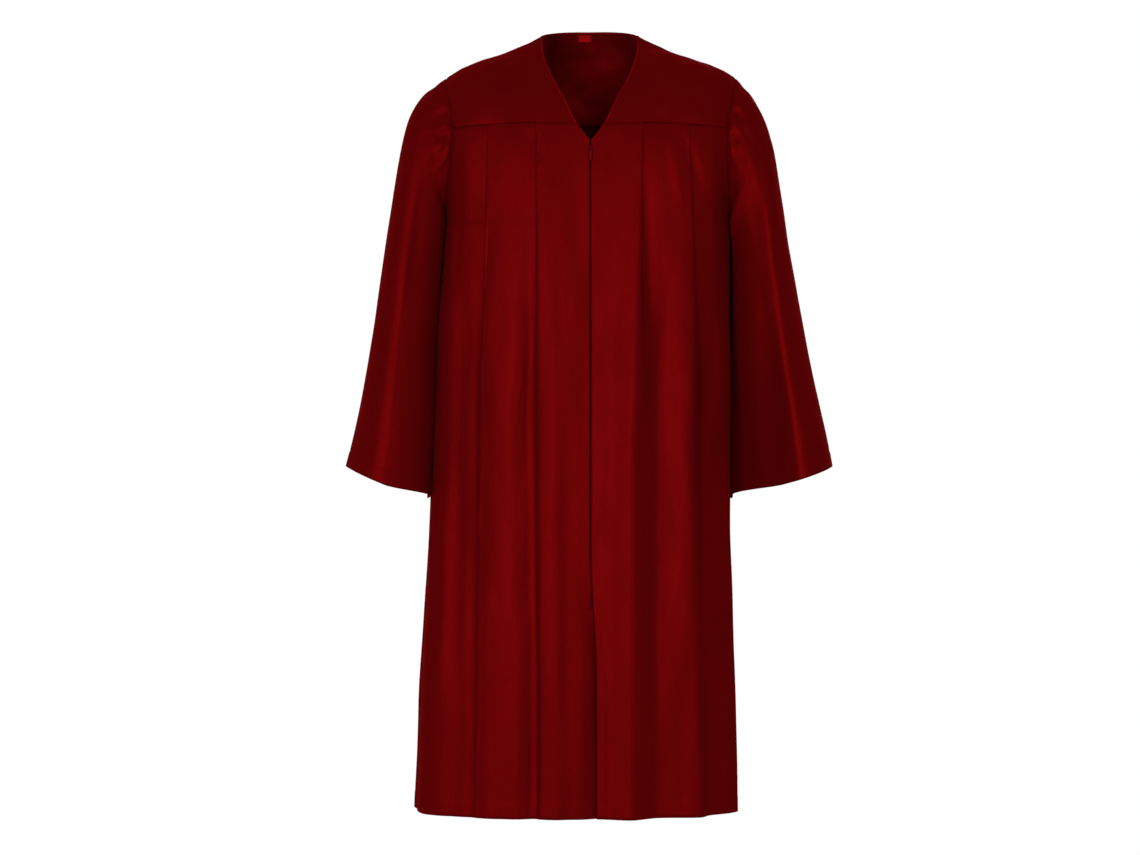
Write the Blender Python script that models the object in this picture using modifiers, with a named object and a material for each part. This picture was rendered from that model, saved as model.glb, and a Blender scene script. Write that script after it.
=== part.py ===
"""Graduation gown, held as worn with nobody in it.

Yoked fronts with two pressed knife pleats each and a centre zip, a back fluted into its yoke, and
two bell sleeves gathered into the armholes. Each cut piece of cloth is one wall, made as an open
surface through worked-out sections and thickened.

Lengths here are millimetres, and MM turns them into Blender's metres. The origin is the middle of
the neck, level with the inner ends of the shoulder seams. +Z is up and the front faces -Y, so the
wearer's right side lies at -X.
"""

import math

import bmesh
import bpy
import numpy as np
from mathutils import Matrix, Vector

MM = 0.001
RIGHT = -1
LEFT = 1
FRONT = -1
BACK = 1
SIDE_NAMES = {RIGHT: "right", LEFT: "left"}

# Cloth and the room left at its seams
WALL = 1.4
TAPE_WALL = 1.0
LABEL_WALL = 1.0
LAY_GAP = 0.3
SEAM_SETBACK = 0.3
YOKE_SETBACK = 0.3
RIDGE_SETBACK = 0.65

# Heights
UNDERARM_Z = -300.0
HEM_Z = -1195.0
V_POINT_Z = -175.0
SPREAD_TOP_Z = -165.0
SPREAD_FOOT_Z = -385.0

# Zip down the centre front
ZIP_END_Z = -884.0
ZIP_GAP = 1.7
TAPE_WIDTH = 12.0
TAPE_TOP_Z = -180.0
SLIDER_Z = -186.0

# Armhole, an upright oval
ARMHOLE_MIDDLE_Z = -182.5
ARMHOLE_HALF_HEIGHT = 117.5
ARMHOLE_HALF_DEPTH = 76.0
SLEEVE_SETBACK = 0.9
UNDERARM_SETBACK = 2.3

# Blank label inside the back neck
LABEL_TOP, LABEL_FOOT = 4.0, 15.0
LABEL_EDGES = (-18.0, -9.0, 0.0, 2.0)

# The slider, in its own frame: x across, -y out of the cloth, z up the zip
SLIDER_BODY = (7.0, 2.4, 9.0)
NECK_WIDTH, NECK_HEIGHT = 1.0, 5.0
NECK_SINK = 0.8
PLATE = (3.2, 0.9, 7.4)
ARCH_RADIUS = 2.9
ARCH_WIRE = 0.55
ARCH_SINK = 0.4
PIVOT_OUT = 3.1
LEAN_ABOVE, LEAN_BELOW = 8.0, 14.0

# The pull tab: a bar under the arch, two rails past it, and the tab below
PULL_WIDTH = 4.4
PULL_WALL = 1.1
PULL_LENGTH = 19.0
RAIL_WIDTH = 0.95
RAIL_LENGTH = 5.2
RAIL_SINK = 0.4

CLOTH_COLOUR = (0.13, 0.0012, 0.0018)
CLOTH_ROUGHNESS = 0.42
LABEL_COLOUR = (0.22, 0.004, 0.006)
ZIP_COLOUR = (0.12, 0.0012, 0.0018)
METAL_COLOUR = (0.10, 0.0012, 0.0018)


class Table:
    """Rows of sizes under named columns, read smoothly at any value of the first column."""

    def __init__(self, names, *rows):
        names = names.split()
        values = np.array(rows, float)
        values = values[np.argsort(values[:, 0])]
        self.key = values[:, 0]
        self.columns = dict(zip(names, values.T))

    def at(self, name, where):
        key, value = self.key, self.columns[name]
        slope = np.gradient(value, key)
        i = int(np.clip(np.searchsorted(key, where) - 1, 0, len(key) - 2))
        span = key[i + 1] - key[i]
        t = float(np.clip((where - key[i]) / span, 0, 1))
        start = (1 + 2 * t) * (1 - t) ** 2 * value[i] + t * (1 - t) ** 2 * span * slope[i]
        end = t * t * (3 - 2 * t) * value[i + 1] + t * t * (t - 1) * span * slope[i + 1]
        return float(start + end)


# The body's outline by height: half widths, depths from the middle, and how square its corners are
BODY = Table(
    "z right left front back square",
    (-120, 224, 218, 108, 114, 3.0),
    (-150, 224, 218, 114, 121, 3.0),
    (-200, 226, 218, 121, 131, 3.0),
    (UNDERARM_Z, 227, 218, 128, 139, 2.8),
    (-450, 238, 217, 134, 146, 2.7),
    (-600, 243, 216.5, 140, 152, 2.7),
    (-720, 248, 216.5, 144, 156, 2.8),
    (-1000, 263, 221, 151, 163, 3.0),
    (HEM_Z, 271, 226, 155, 168, 3.0),
)

# The armhole seam's distance from the middle; turn is 0 at the top and 180 under the arm
ARMHOLE = Table(
    "turn right left",
    (0, 224, 227),
    (35, 221, 223),
    (70, 212, 212),
    (90, 212, 211),
    (130, 219, 214),
    (180, 227, 218),
)

# Top edge of a front: the V, then the yoke seam
FRONT_TOP = Table(
    "x z",
    (0.0, V_POINT_Z),
    (9.5, -164.5),
    (21.5, -147),
    (40, -146.5),
    (90, -145.5),
    (150, -147),
    (212, -150),
)
V_FOOT_X = 21.5

# Neck edge of a front yoke, from the shoulder seam to the yoke seam
NECK_FRONT = Table(
    "step x y z",
    (0, 74, 6, 3),
    (1, 72, -32, -30),
    (2, 60, -68, -67),
    (3, 40, -97, -107),
    (4, 21.5, -112.5, -146.5),
)

# Neck edge of the back yoke, from the middle out to the shoulder seam
NECK_BACK = Table(
    "x y z",
    (0, 71, 18),
    (30, 68, 18),
    (52, 57, 15),
    (67, 36, 10),
    (74, 6, 3),
)

# Shoulder seam, neck to armhole
SHOULDER = Table(
    "x y z",
    (74, 6, 3),
    (93, 6, -7),
    (140, 5, -26),
    (187, 3, -43),
    (210, 1, -55),
    (225, 0, -65),
)

# The shoulders are rounder than the neck edge that is cut into them: their depth behind the
# shoulder seams with no neck cut away, and how fast the neck edge's dip dies out down the yoke
SHOULDER_ROUND = 58.0
NECK_FADE = 3

# Columns of the back yoke, as distances from its middle; some fall on the neck's corners, so that
# its edge keeps its shape
BACK_YOKE_COLUMNS = (0, 26, 52, 67, 74, 100, 140, 180, 207)

# Yoke seam across the back
BACK_TOP = Table("x z", (0, -127), (110, -128), (160, -131), (212, -136))

# Edges of the two knife pleats of each front, by height
PLEAT_PLACE = Table(
    "z right_inner right_outer left_inner left_outer",
    (-146, 83, 156, 80, 150),
    (-415, 80, 161, 75, 157),
    (-690, 78, 166, 69, 156),
    (-1000, 75, 169, 69, 163),
    (HEM_Z, 75, 171, 69, 168),
)

# One knife pleat: distance along from its edge and outward, pressed flat above and open at the hem
PLEAT = Table(
    "point along_top out_top along_hem out_hem",
    (0, -40, 0, -44, 2),
    (1, -16, 4.8, -18, 9),
    (2, 0, 4.8, -1, 13),
    (3, 0, 2.4, -1, 8.5),
    (4, -14, 2.4, -9, 4),
    (5, -14, 0, -7, -3),
    (6, 4, 0, 5, -5),
    (7, 20, 0, 24, -2),
)

# Outer part of a front, from its second pleat to the armhole or side seam
FRONT_SIDE = Table(
    "share out_hem",
    (0.18, 3),
    (0.36, 7),
    (0.54, 2),
    (0.70, -3),
    (0.85, 0),
    (1.0, 0),
)

# How far the pleats have opened at the top and at the hem: 0 is pressed flat and 1 is open
OPEN_AT_TOP, OPEN_AT_HEM = 0.05, 0.9

# Shallow valley between the fronts below the zip, and the run over which their gap closes
CENTRE_VALLEY = 4.0
VALLEY_TOP_Z = ZIP_END_Z + 60
VALLEY_RUN = 160.0
CLOSING_RUN = 40.0
PLACKET_X = 14.0

# How far down a panel its rows still follow its top edge
FRONT_TOP_RUN = 150.0
BACK_TOP_RUN = 120.0

FRONT_ROWS = (
    -150, -158, -170, -187, -208, -232, -256, -278, -293, UNDERARM_Z,
    -326, -375, -445, -535, -640, -760, ZIP_END_Z, -985, -1090, HEM_Z,
)
BACK_ROWS = (
    -136, -147, -162, -182, -206, -232, -256, -278, -293, UNDERARM_Z,
    -328, -385, -465, -565, -680, -800, -920, -1030, -1120, HEM_Z,
)

# The back: flutes at its seam, and the soft folds that they run into
FLUTES_A_SIDE = 13
FLUTE = Table(
    "z depth",
    (-120, 1.6),
    (-147, 3.6),
    (-182, 3.2),
    (-256, 1.8),
    (-385, 0.7),
    (-565, 0.0),
    (HEM_Z, 0.0),
)
BACK_FOLDS = (
    {"at": -0.80, "width": 0.075, "depth": 9},
    {"at": -0.56, "width": 0.085, "depth": 13},
    {"at": -0.31, "width": 0.080, "depth": 11},
    {"at": -0.07, "width": 0.090, "depth": 14},
    {"at": 0.19, "width": 0.080, "depth": 12},
    {"at": 0.43, "width": 0.075, "depth": 14},
    {"at": 0.65, "width": 0.080, "depth": 10},
    {"at": 0.84, "width": 0.060, "depth": 8},
)
BACK_FOLD_TOP = -200.0
BACK_FOLD_BASE = 4.0
FOLD_END, FLUTE_END = 0.88, 0.9

# A sleeve by steps from armhole to cuff: outer line, line under the arm, and half depth
SLEEVE = Table(
    "step outer_right outer_left outer_z under_right under_left under_z half_depth gather",
    (0, 224, 227, -65, 227, 218, -300, 76, 0.8),
    (1, 240, 238, -78, 229.5, 221, -305, 80, 3.0),
    (2, 255, 248.5, -89, 232, 223, -311, 84, 3.6),
    (3, 270, 260, -107, 234.5, 225, -319, 88, 3.2),
    (4, 282, 271, -130, 237, 226.5, -329, 91, 2.4),
    (5, 290.5, 280, -160, 239.5, 227.5, -342, 94, 1.5),
    (6, 299, 289, -205, 242, 228, -360, 97, 0.7),
    (7, 308, 298, -260, 245, 228, -386, 100, 0.2),
    (8, 318, 309, -330, 248, 228, -428, 104, 0),
    (9, 329, 325, -412, 250.5, 228, -484, 109, 0),
    (10, 341, 338, -484, 252.5, 227, -548, 114, 0),
    (11, 354, 354, -562, 254.5, 226, -617, 119, 0),
    (12, 368, 369, -630, 255.5, 225, -677, 123, 0),
    (13, 377, 377, -667, 256, 224.5, -718, 126, 0),
)
SLEEVE_STEPS = 13
CAP_FLUTES = 10
CAP_REACH = 95.0
CAP_FADE = 25.0
UNDER_COLUMNS = 10

# Steps over which a sleeve takes on the armhole's shape, and its folds grow
CAP_STEPS = 4
DRAPE_STEP, DRAPE_RUN = 3, 8

# Gathers are lower on the crown: their share there, where they start to rise, and over how far
CROWN_SHARE, CROWN_END, CROWN_RUN = 0.45, 10.0, 35.0

# A sleeve's inner wall follows the body's side: their gap, where round its ring it starts, and over
# how many degrees and steps it grows
NEST_GAP = 5.5
NEST_START, NEST_RUN = 112.0, 28.0
NEST_STEP, NEST_STEPS = 3, 3

# Where round the armhole the wider gap under the arm starts, and over how far it grows
UNDERARM_START, UNDERARM_RUN = 85.0, 35.0

# Soft folds down a sleeve: place on its ring in degrees (0 outer, 90 front), width and depth
SLEEVE_FOLDS = (
    {"side": RIGHT, "top": 62, "cuff": 44, "width": 20, "depth": -6},
    {"side": RIGHT, "top": 108, "cuff": 82, "width": 22, "depth": 7},
    {"side": RIGHT, "top": 148, "cuff": 118, "width": 18, "depth": -7},
    {"side": RIGHT, "top": 232, "cuff": 255, "width": 22, "depth": -7},
    {"side": RIGHT, "top": 285, "cuff": 300, "width": 22, "depth": 6},
    {"side": LEFT, "top": 58, "cuff": 46, "width": 18, "depth": 6},
    {"side": LEFT, "top": 104, "cuff": 78, "width": 20, "depth": -9},
    {"side": LEFT, "top": 142, "cuff": 112, "width": 20, "depth": 6},
    {"side": LEFT, "top": 228, "cuff": 250, "width": 22, "depth": -7},
    {"side": LEFT, "top": 282, "cuff": 302, "width": 22, "depth": 6},
)

QUARTER_STEPS = 240

# A front yoke stands out over the collar bone: by how much, which way, and near which edges it fades
YOKE_CROWN = 9.0
CROWN_WAY = np.array((0, -0.6, 0.8))
CROWN_EDGE = 0.15


def smooth(t):
    t = min(max(t, 0.0), 1.0)
    return t * t * (3 - 2 * t)


def mix(a, b, t):
    return a + (b - a) * t


def body_reach(side, y, z):
    """How far the body's outline stands to a side, at a depth and a height."""
    depth = BODY.at("front" if y < 0 else "back", z)
    square = BODY.at("square", z)
    share = min(abs(y) / depth, 1.0)
    return BODY.at(SIDE_NAMES[side], z) * (1 - share**square) ** (1 / square)


def armhole_turn(z, face):
    """Place on the armhole seam at a height, on its front or back half, in degrees."""
    turn = math.degrees(math.acos(np.clip((z - ARMHOLE_MIDDLE_Z) / ARMHOLE_HALF_HEIGHT, -1, 1)))
    return turn if face == FRONT else 360 - turn


def armhole_point(side, turn):
    """Point of the armhole seam: turn is 0 on top, 90 in front, 180 under the arm, 270 behind."""
    reach = ARMHOLE.at(SIDE_NAMES[side], min(turn, 360 - turn))
    angle = math.radians(turn)
    y = -ARMHOLE_HALF_DEPTH * math.sin(angle)
    z = ARMHOLE_MIDDLE_Z + ARMHOLE_HALF_HEIGHT * math.cos(angle)
    return np.array((side * reach, y, z))


class Section:
    """A quarter of the body's outline at one height, from its middle to its side or armhole."""

    def __init__(self, side, face, z):
        self.side, self.face, self.z = side, face, z
        depth = BODY.at("front" if face == FRONT else "back", z)
        square = BODY.at("square", z)
        if z > UNDERARM_Z:
            edge = armhole_point(side, armhole_turn(z, face))
            edge_y = abs(edge[1])
            width = abs(edge[0]) / (1 - (edge_y / depth) ** square) ** (1 / square)
        else:
            edge_y = 0.0
            width = BODY.at(SIDE_NAMES[side], z)
        turn = np.pi / 4 * (1 - np.cos(np.linspace(0, np.pi, QUARTER_STEPS)))
        self.x = width * np.sin(turn) ** (2 / square)
        self.y = depth * np.maximum(np.cos(turn), 0) ** (2 / square)
        self.along = np.concatenate(([0], np.cumsum(np.hypot(np.diff(self.x), np.diff(self.y)))))
        self.edge = float(np.interp(-edge_y, -self.y, self.along))

    def spread(self, start, share):
        """Distance along of a column that keeps its share from a start to the edge. Near the underarm
        the armhole moves the edge fast, and only the columns close to the edge follow it."""
        top = self.edge
        if self.z < FRONT_ROWS[0]:
            top = min(top, Section(self.side, self.face, FRONT_ROWS[0]).edge)
        drop = smooth((SPREAD_TOP_Z - self.z) / (SPREAD_TOP_Z - SPREAD_FOOT_Z))
        calm = mix(top, self.along[-1], drop)
        end = mix(calm, self.edge, share**4) - SEAM_SETBACK
        return mix(start, end, share)

    def along_at_x(self, x):
        return float(np.interp(x, self.x, self.along))

    def x_at(self, along):
        return float(np.interp(along, self.along, self.x))

    def point(self, along, out=0.0):
        """The point at a distance along the outline, moved outward."""
        step = 1.0
        x, y = np.interp(along, self.along, self.x), np.interp(along, self.along, self.y)
        low, high = max(along - step, 0), min(along + step, self.along[-1])
        run_x = np.interp(high, self.along, self.x) - np.interp(low, self.along, self.x)
        run_y = np.interp(high, self.along, self.y) - np.interp(low, self.along, self.y)
        run = math.hypot(run_x, run_y)
        x, y = x - out * run_y / run, y + out * run_x / run
        return np.array((self.side * x, self.face * y, self.z))


def front_columns(side, z):
    """Distance along and outward of each column of a front at one height."""
    section = Section(side, FRONT, z)
    drop = (FRONT_ROWS[0] - z) / (FRONT_ROWS[0] - HEM_Z)
    open_share = smooth(mix(OPEN_AT_TOP, OPEN_AT_HEM, drop))
    valley = -CENTRE_VALLEY * smooth((VALLEY_TOP_Z - z) / VALLEY_RUN)
    closed = smooth((ZIP_END_Z - z) / CLOSING_RUN + 0.5)
    half_gap = mix(ZIP_GAP / 2, SEAM_SETBACK, closed)
    columns = [(half_gap, valley), (PLACKET_X, valley / 2), (V_FOOT_X, 0)]
    for place in ("inner", "outer"):
        edge = section.along_at_x(PLEAT_PLACE.at(f"{SIDE_NAMES[side]}_{place}", z))
        for point in PLEAT.key:
            along = mix(PLEAT.at("along_top", point), PLEAT.at("along_hem", point), open_share)
            out = mix(PLEAT.at("out_top", point), PLEAT.at("out_hem", point), open_share)
            columns.append((edge + along, out))
    start = columns[-1][0]
    for share in FRONT_SIDE.key:
        columns.append((section.spread(start, share), FRONT_SIDE.at("out_hem", share) * open_share))
    return section, columns


def front_grid(side):
    """Points of a front, row by row from its top edge to the hem."""
    column_count = len(front_columns(side, FRONT_ROWS[0])[1])
    grid = np.zeros((len(FRONT_ROWS), column_count, 3))
    for r, row_z in enumerate(FRONT_ROWS):
        fade = 1 - smooth((FRONT_ROWS[0] - row_z) / FRONT_TOP_RUN)
        section, columns = front_columns(side, row_z)
        for c in range(column_count):
            x = min(section.x_at(columns[c][0]), FRONT_TOP.key[-1])
            top_z = FRONT_TOP.at("z", x)
            z = row_z + (top_z - FRONT_ROWS[0] - YOKE_SETBACK) * fade
            here, here_columns = front_columns(side, z)
            grid[r, c] = here.point(*here_columns[c])
    return grid


def back_out(f, column, z):
    """How far the back stands out at a share of its width and a height."""
    flute_fade = 1 - smooth((abs(f) - FLUTE_END) / (1 - FLUTE_END))
    flute = FLUTE.at("depth", z) * (1 if column % 2 else -1) * flute_fade
    drop = smooth((BACK_FOLD_TOP - z) / (BACK_FOLD_TOP - HEM_Z))
    soft = -BACK_FOLD_BASE
    for fold in BACK_FOLDS:
        soft += fold["depth"] * math.exp(-(((f - fold["at"]) / fold["width"]) ** 2))
    fold_fade = 1 - smooth((abs(f) - FOLD_END) / (1 - FOLD_END))
    return flute + soft * drop * fold_fade


def back_grid():
    """Points of the back, row by row from the yoke seam to the hem, wearer's right to left."""
    half = FLUTES_A_SIDE * 2
    grid = np.zeros((len(BACK_ROWS), 2 * half + 1, 3))
    for r, row_z in enumerate(BACK_ROWS):
        fade = 1 - smooth((BACK_ROWS[0] - row_z) / BACK_TOP_RUN)
        for c in range(-half, half + 1):
            side = RIGHT if c < 0 else LEFT
            f = c / half
            section = Section(side, BACK, row_z)
            x = min(section.x_at(section.spread(0, abs(f))), BACK_TOP.key[-1])
            z = row_z + (BACK_TOP.at("z", x) - BACK_ROWS[0] - YOKE_SETBACK) * fade
            section = Section(side, BACK, z)
            grid[r, c + half] = section.point(section.spread(0, abs(f)), back_out(f, c, z))
    return grid


def sleeve_angles():
    """Places round a sleeve's ring in degrees: each flute's top and foot over the cap, then under."""
    cap = np.linspace(-CAP_REACH, CAP_REACH, 2 * CAP_FLUTES + 1)
    under = np.linspace(CAP_REACH, 360 - CAP_REACH, UNDER_COLUMNS + 1)
    return np.concatenate((cap, under[1:-1]))


def sleeve_point(side, step, angle, gather_sign):
    """One point of a sleeve, at a step from armhole to cuff and an angle round its ring."""
    name = SIDE_NAMES[side]
    outer = np.array((side * SLEEVE.at(f"outer_{name}", step), 0, SLEEVE.at("outer_z", step)))
    under = np.array((side * SLEEVE.at(f"under_{name}", step), 0, SLEEVE.at("under_z", step)))
    half, deep = (outer - under) / 2, SLEEVE.at("half_depth", step)
    turn = math.radians(angle)
    point = (outer + under) / 2 + half * math.cos(turn) + np.array((0, -deep * math.sin(turn), 0))
    fade = 1 - smooth(step / CAP_STEPS)
    armhole = armhole_point(side, angle % 360)
    under_x, outer_x = SLEEVE.at(f"under_{name}", 0), SLEEVE.at(f"outer_{name}", 0)
    point[0] += (armhole[0] - side * mix(under_x, outer_x, (1 + math.cos(turn)) / 2)) * fade
    reach = abs((angle + 180) % 360 - 180)
    low = smooth((reach - UNDERARM_START) / UNDERARM_RUN)
    point[0] += side * mix(SLEEVE_SETBACK, UNDERARM_SETBACK, low) * fade
    normal = half / np.dot(half, half) * math.cos(turn) + np.array((0, -math.sin(turn) / deep, 0))
    normal /= np.linalg.norm(normal)
    cap = 1 - smooth((reach - CAP_REACH) / CAP_FADE + 1)
    waves = mix(CROWN_SHARE, 1.0, smooth((reach - CROWN_END) / CROWN_RUN))
    out = gather_sign * SLEEVE.at("gather", step) * cap * waves
    drape = smooth((step - DRAPE_STEP) / DRAPE_RUN)
    for fold in SLEEVE_FOLDS:
        if fold["side"] == side:
            centre = mix(fold["top"], fold["cuff"], step / SLEEVE_STEPS)
            away = (angle - centre + 180) % 360 - 180
            out += fold["depth"] * drape * math.exp(-((away / fold["width"]) ** 2))
    point += normal * out
    nest = smooth((reach - NEST_START) / NEST_RUN) * smooth((step - NEST_STEP) / NEST_STEPS)
    point[0] = mix(point[0], side * (body_reach(side, point[1], point[2]) + NEST_GAP), nest)
    return point


def sleeve_grid(side):
    """Rings of a sleeve from armhole to cuff."""
    angles = sleeve_angles()
    grid = np.zeros((SLEEVE_STEPS + 1, len(angles), 3))
    for step in range(SLEEVE_STEPS + 1):
        for c, angle in enumerate(angles):
            sign = 1 if c % 2 else -1
            grid[step, c] = sleeve_point(side, step, angle, sign)
    return grid


def coons(top, bottom, first, last, u, v):
    """Point of the patch between four edge curves; u runs along top and bottom, v down the sides."""
    ruled = mix(top(u), bottom(u), v) + mix(first(v), last(v), u)
    corners = mix(mix(top(0), top(1), u), mix(bottom(0), bottom(1), u), v)
    return ruled - corners


def front_yoke_point(side, u, v):
    """Point of a front yoke; u runs from neck to armhole and v from shoulder to yoke seam."""
    seam_turn = armhole_turn(FRONT_TOP.at("z", FRONT_TOP.key[-1]), FRONT)

    def shoulder(u):
        x = mix(SHOULDER.key[0], SHOULDER.key[-1], u)
        if x > SHOULDER.key[-1] - 1e-6:
            return armhole_point(side, 0)
        return np.array((side * x, SHOULDER.at("y", x), SHOULDER.at("z", x)))

    def neck(v):
        step = NECK_FRONT.key[-1] * v
        x, y, z = (NECK_FRONT.at(name, step) for name in "xyz")
        return np.array((side * x, y, z))

    def seam(u):
        x = mix(V_FOOT_X, FRONT_TOP.key[-1], u)
        z = FRONT_TOP.at("z", x)
        section = Section(side, FRONT, z)
        along = mix(section.along_at_x(V_FOOT_X), section.edge, u)
        return section.point(along)

    def armhole(v):
        return armhole_point(side, seam_turn * v)

    crown = YOKE_CROWN * math.sin(math.pi * v) * math.sin(math.pi * mix(0.1, 0.9, u))
    crown *= smooth(u / CROWN_EDGE) * smooth((1 - u) / CROWN_EDGE)
    return coons(shoulder, seam, neck, armhole, u, v) + crown * CROWN_WAY


def front_yoke_grid(side, columns=9, rows=8):
    grid = np.array([[front_yoke_point(side, u, v) for u in np.linspace(0, 1, columns)]
                     for v in np.linspace(0, 1, rows)])
    grid[0, :, 1] -= RIDGE_SETBACK
    grid[-1, :, 2] += YOKE_SETBACK
    return grid


def back_yoke_point(u, v):
    """Point of the back yoke; u runs from the right armhole to the left, v from the top to its seam."""
    seam_turn = armhole_turn(BACK_TOP.at("z", BACK_TOP.key[-1]), BACK)
    reach = SHOULDER.key[-1]

    def top(u):
        x = mix(-reach, reach, u)
        side = RIGHT if x < 0 else LEFT
        if abs(x) > reach - 1e-6:
            return armhole_point(side, 0)
        table = SHOULDER if abs(x) > SHOULDER.key[0] else NECK_BACK
        return np.array((x, table.at("y", abs(x)), table.at("z", abs(x))))

    def seam(u):
        side = RIGHT if u < 0.5 else LEFT
        share = abs(u - 0.5) * 2
        section = Section(side, BACK, BACK_TOP.at("z", share * BACK_TOP.key[-1]))
        return section.point(share * section.edge)

    def right_armhole(v):
        return armhole_point(RIGHT, mix(360, seam_turn, v))

    def left_armhole(v):
        return armhole_point(LEFT, mix(360, seam_turn, v))

    def full_top(u):
        point = top(u)
        point[1] = SHOULDER_ROUND * (1 - (2 * u - 1) ** 2)
        return point

    point = coons(full_top, seam, right_armhole, left_armhole, u, v)
    return point + (top(u) - full_top(u)) * (1 - v) ** NECK_FADE


def back_yoke_shares():
    """Columns of the back yoke as shares of its width."""
    reach = SHOULDER.key[-1]
    half = [*BACK_YOKE_COLUMNS, reach]
    return [0.5 - x / reach / 2 for x in reversed(half[1:])] + [0.5 + x / reach / 2 for x in half]


def back_yoke_grid(rows=8):
    reach = SHOULDER.key[-1]
    shares = back_yoke_shares()
    grid = np.array([[back_yoke_point(u, v) for u in shares] for v in np.linspace(0, 1, rows)])
    for c, u in enumerate(shares):
        if abs(u - 0.5) * 2 * reach >= SHOULDER.key[0] - 1e-6:
            grid[0, c, 1] += RIDGE_SETBACK
    grid[-1, :, 2] += YOKE_SETBACK
    return grid


def lay_on(grid, rows, columns, out):
    """Points on a panel at fractional rows and columns of its grid, moved along its normal, which
    is the direction of a row crossed with the direction of a column."""
    laid = np.zeros((len(rows), len(columns), 3))
    for i, row in enumerate(rows):
        for j, column in enumerate(columns):
            r, c = min(int(row), len(grid) - 2), min(int(column), grid.shape[1] - 2)
            top = mix(grid[r, c], grid[r, c + 1], column - c)
            foot = mix(grid[r + 1, c], grid[r + 1, c + 1], column - c)
            across = mix(grid[r, c + 1] - grid[r, c], grid[r + 1, c + 1] - grid[r + 1, c], row - r)
            normal = np.cross(across, foot - top)
            laid[i, j] = mix(top, foot, row - r) + normal / np.linalg.norm(normal) * out
    return laid


def tape_grid(side):
    """Zip tape: a strip laid behind the front's edge, down to the zip's end."""
    grid = front_grid(side)
    end = FRONT_ROWS.index(ZIP_END_Z)
    top = (grid[0, 0, 2] - TAPE_TOP_Z) / (grid[0, 0, 2] - grid[1, 0, 2])
    width = (TAPE_WIDTH - grid[1, 0, 0] * side) / ((grid[1, 1, 0] - grid[1, 0, 0]) * side)
    inward = WALL / 2 + LAY_GAP + TAPE_WALL / 2
    return lay_on(grid, (top, *range(1, end + 1)), (0, width / 2, width), side * inward)


def label_grid():
    """Label: a strip laid on the back yoke's inner face by the neck."""
    grid, shares = back_yoke_grid(), back_yoke_shares()
    reach = SHOULDER.key[-1]
    places = [0.5 + x / reach / 2 for x in LABEL_EDGES]
    columns = [float(column) for column in np.interp(places, shares, range(len(shares)))]
    drop = np.linalg.norm(grid[1, len(shares) // 2] - grid[0, len(shares) // 2])
    inward = WALL / 2 + LAY_GAP + LABEL_WALL / 2
    return lay_on(grid, (LABEL_TOP / drop, LABEL_FOOT / drop), columns, -inward)


def make_material(name, colour, roughness, metallic=0.0):
    material = bpy.data.materials.new(name)
    material.use_nodes = True
    shader = material.node_tree.nodes["Principled BSDF"]
    shader.inputs["Base Color"].default_value = (*colour, 1)
    shader.inputs["Roughness"].default_value = roughness
    shader.inputs["Metallic"].default_value = metallic
    return material


def make_cloth(name, grid, material, collection, wall=WALL, closed_round=False):
    """An open surface through a grid of points, thickened to a wall."""
    rows, columns = grid.shape[:2]
    bm = bmesh.new()
    verts = [[bm.verts.new(point * MM) for point in row] for row in grid]
    for r in range(rows - 1):
        for c in range(columns if closed_round else columns - 1):
            d = (c + 1) % columns
            bm.faces.new((verts[r][c], verts[r][d], verts[r + 1][d], verts[r + 1][c]))
    mesh = bpy.data.meshes.new(name)
    bm.to_mesh(mesh)
    bm.free()
    mesh.shade_smooth()
    mesh.materials.append(material)
    cloth = bpy.data.objects.new(name, mesh)
    collection.objects.link(cloth)
    thicken = cloth.modifiers.new("wall", "SOLIDIFY")
    thicken.thickness = wall * MM
    thicken.offset = 0
    thicken.use_even_offset = True
    thicken.use_quality_normals = True
    return cloth


def add_box(bm, size, centre):
    """A box in a mesh being built, with its size and centre in millimetres."""
    move = Matrix.Translation([value * MM for value in centre])
    scale = Matrix.Diagonal([value * MM for value in size] + [1])
    bmesh.ops.create_cube(bm, size=1, matrix=move @ scale)


def make_boxes(name, boxes, collection):
    """Boxes that overlap, made one body by a union."""
    bodies = []
    for number, (size, centre) in enumerate(boxes):
        bm = bmesh.new()
        add_box(bm, size, centre)
        mesh = bpy.data.meshes.new(f"{name}_{number}")
        bm.to_mesh(mesh)
        bm.free()
        body = bpy.data.objects.new(mesh.name, mesh)
        collection.objects.link(body)
        bodies.append(body)
    return join_bodies(name, bodies)


def join_bodies(name, bodies):
    """The union of some bodies, as the first of them; the rest are removed."""
    first = bodies[0]
    for other in bodies[1:]:
        union = first.modifiers.new("join", "BOOLEAN")
        union.operation = "UNION"
        union.object = other
    bpy.context.view_layer.update()
    evaluated = first.evaluated_get(bpy.context.evaluated_depsgraph_get())
    mesh = bpy.data.meshes.new_from_object(evaluated)
    first.modifiers.clear()
    first.data = mesh
    for other in bodies[1:]:
        bpy.data.objects.remove(other)
    first.name = name
    mesh.name = name
    return first


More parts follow.
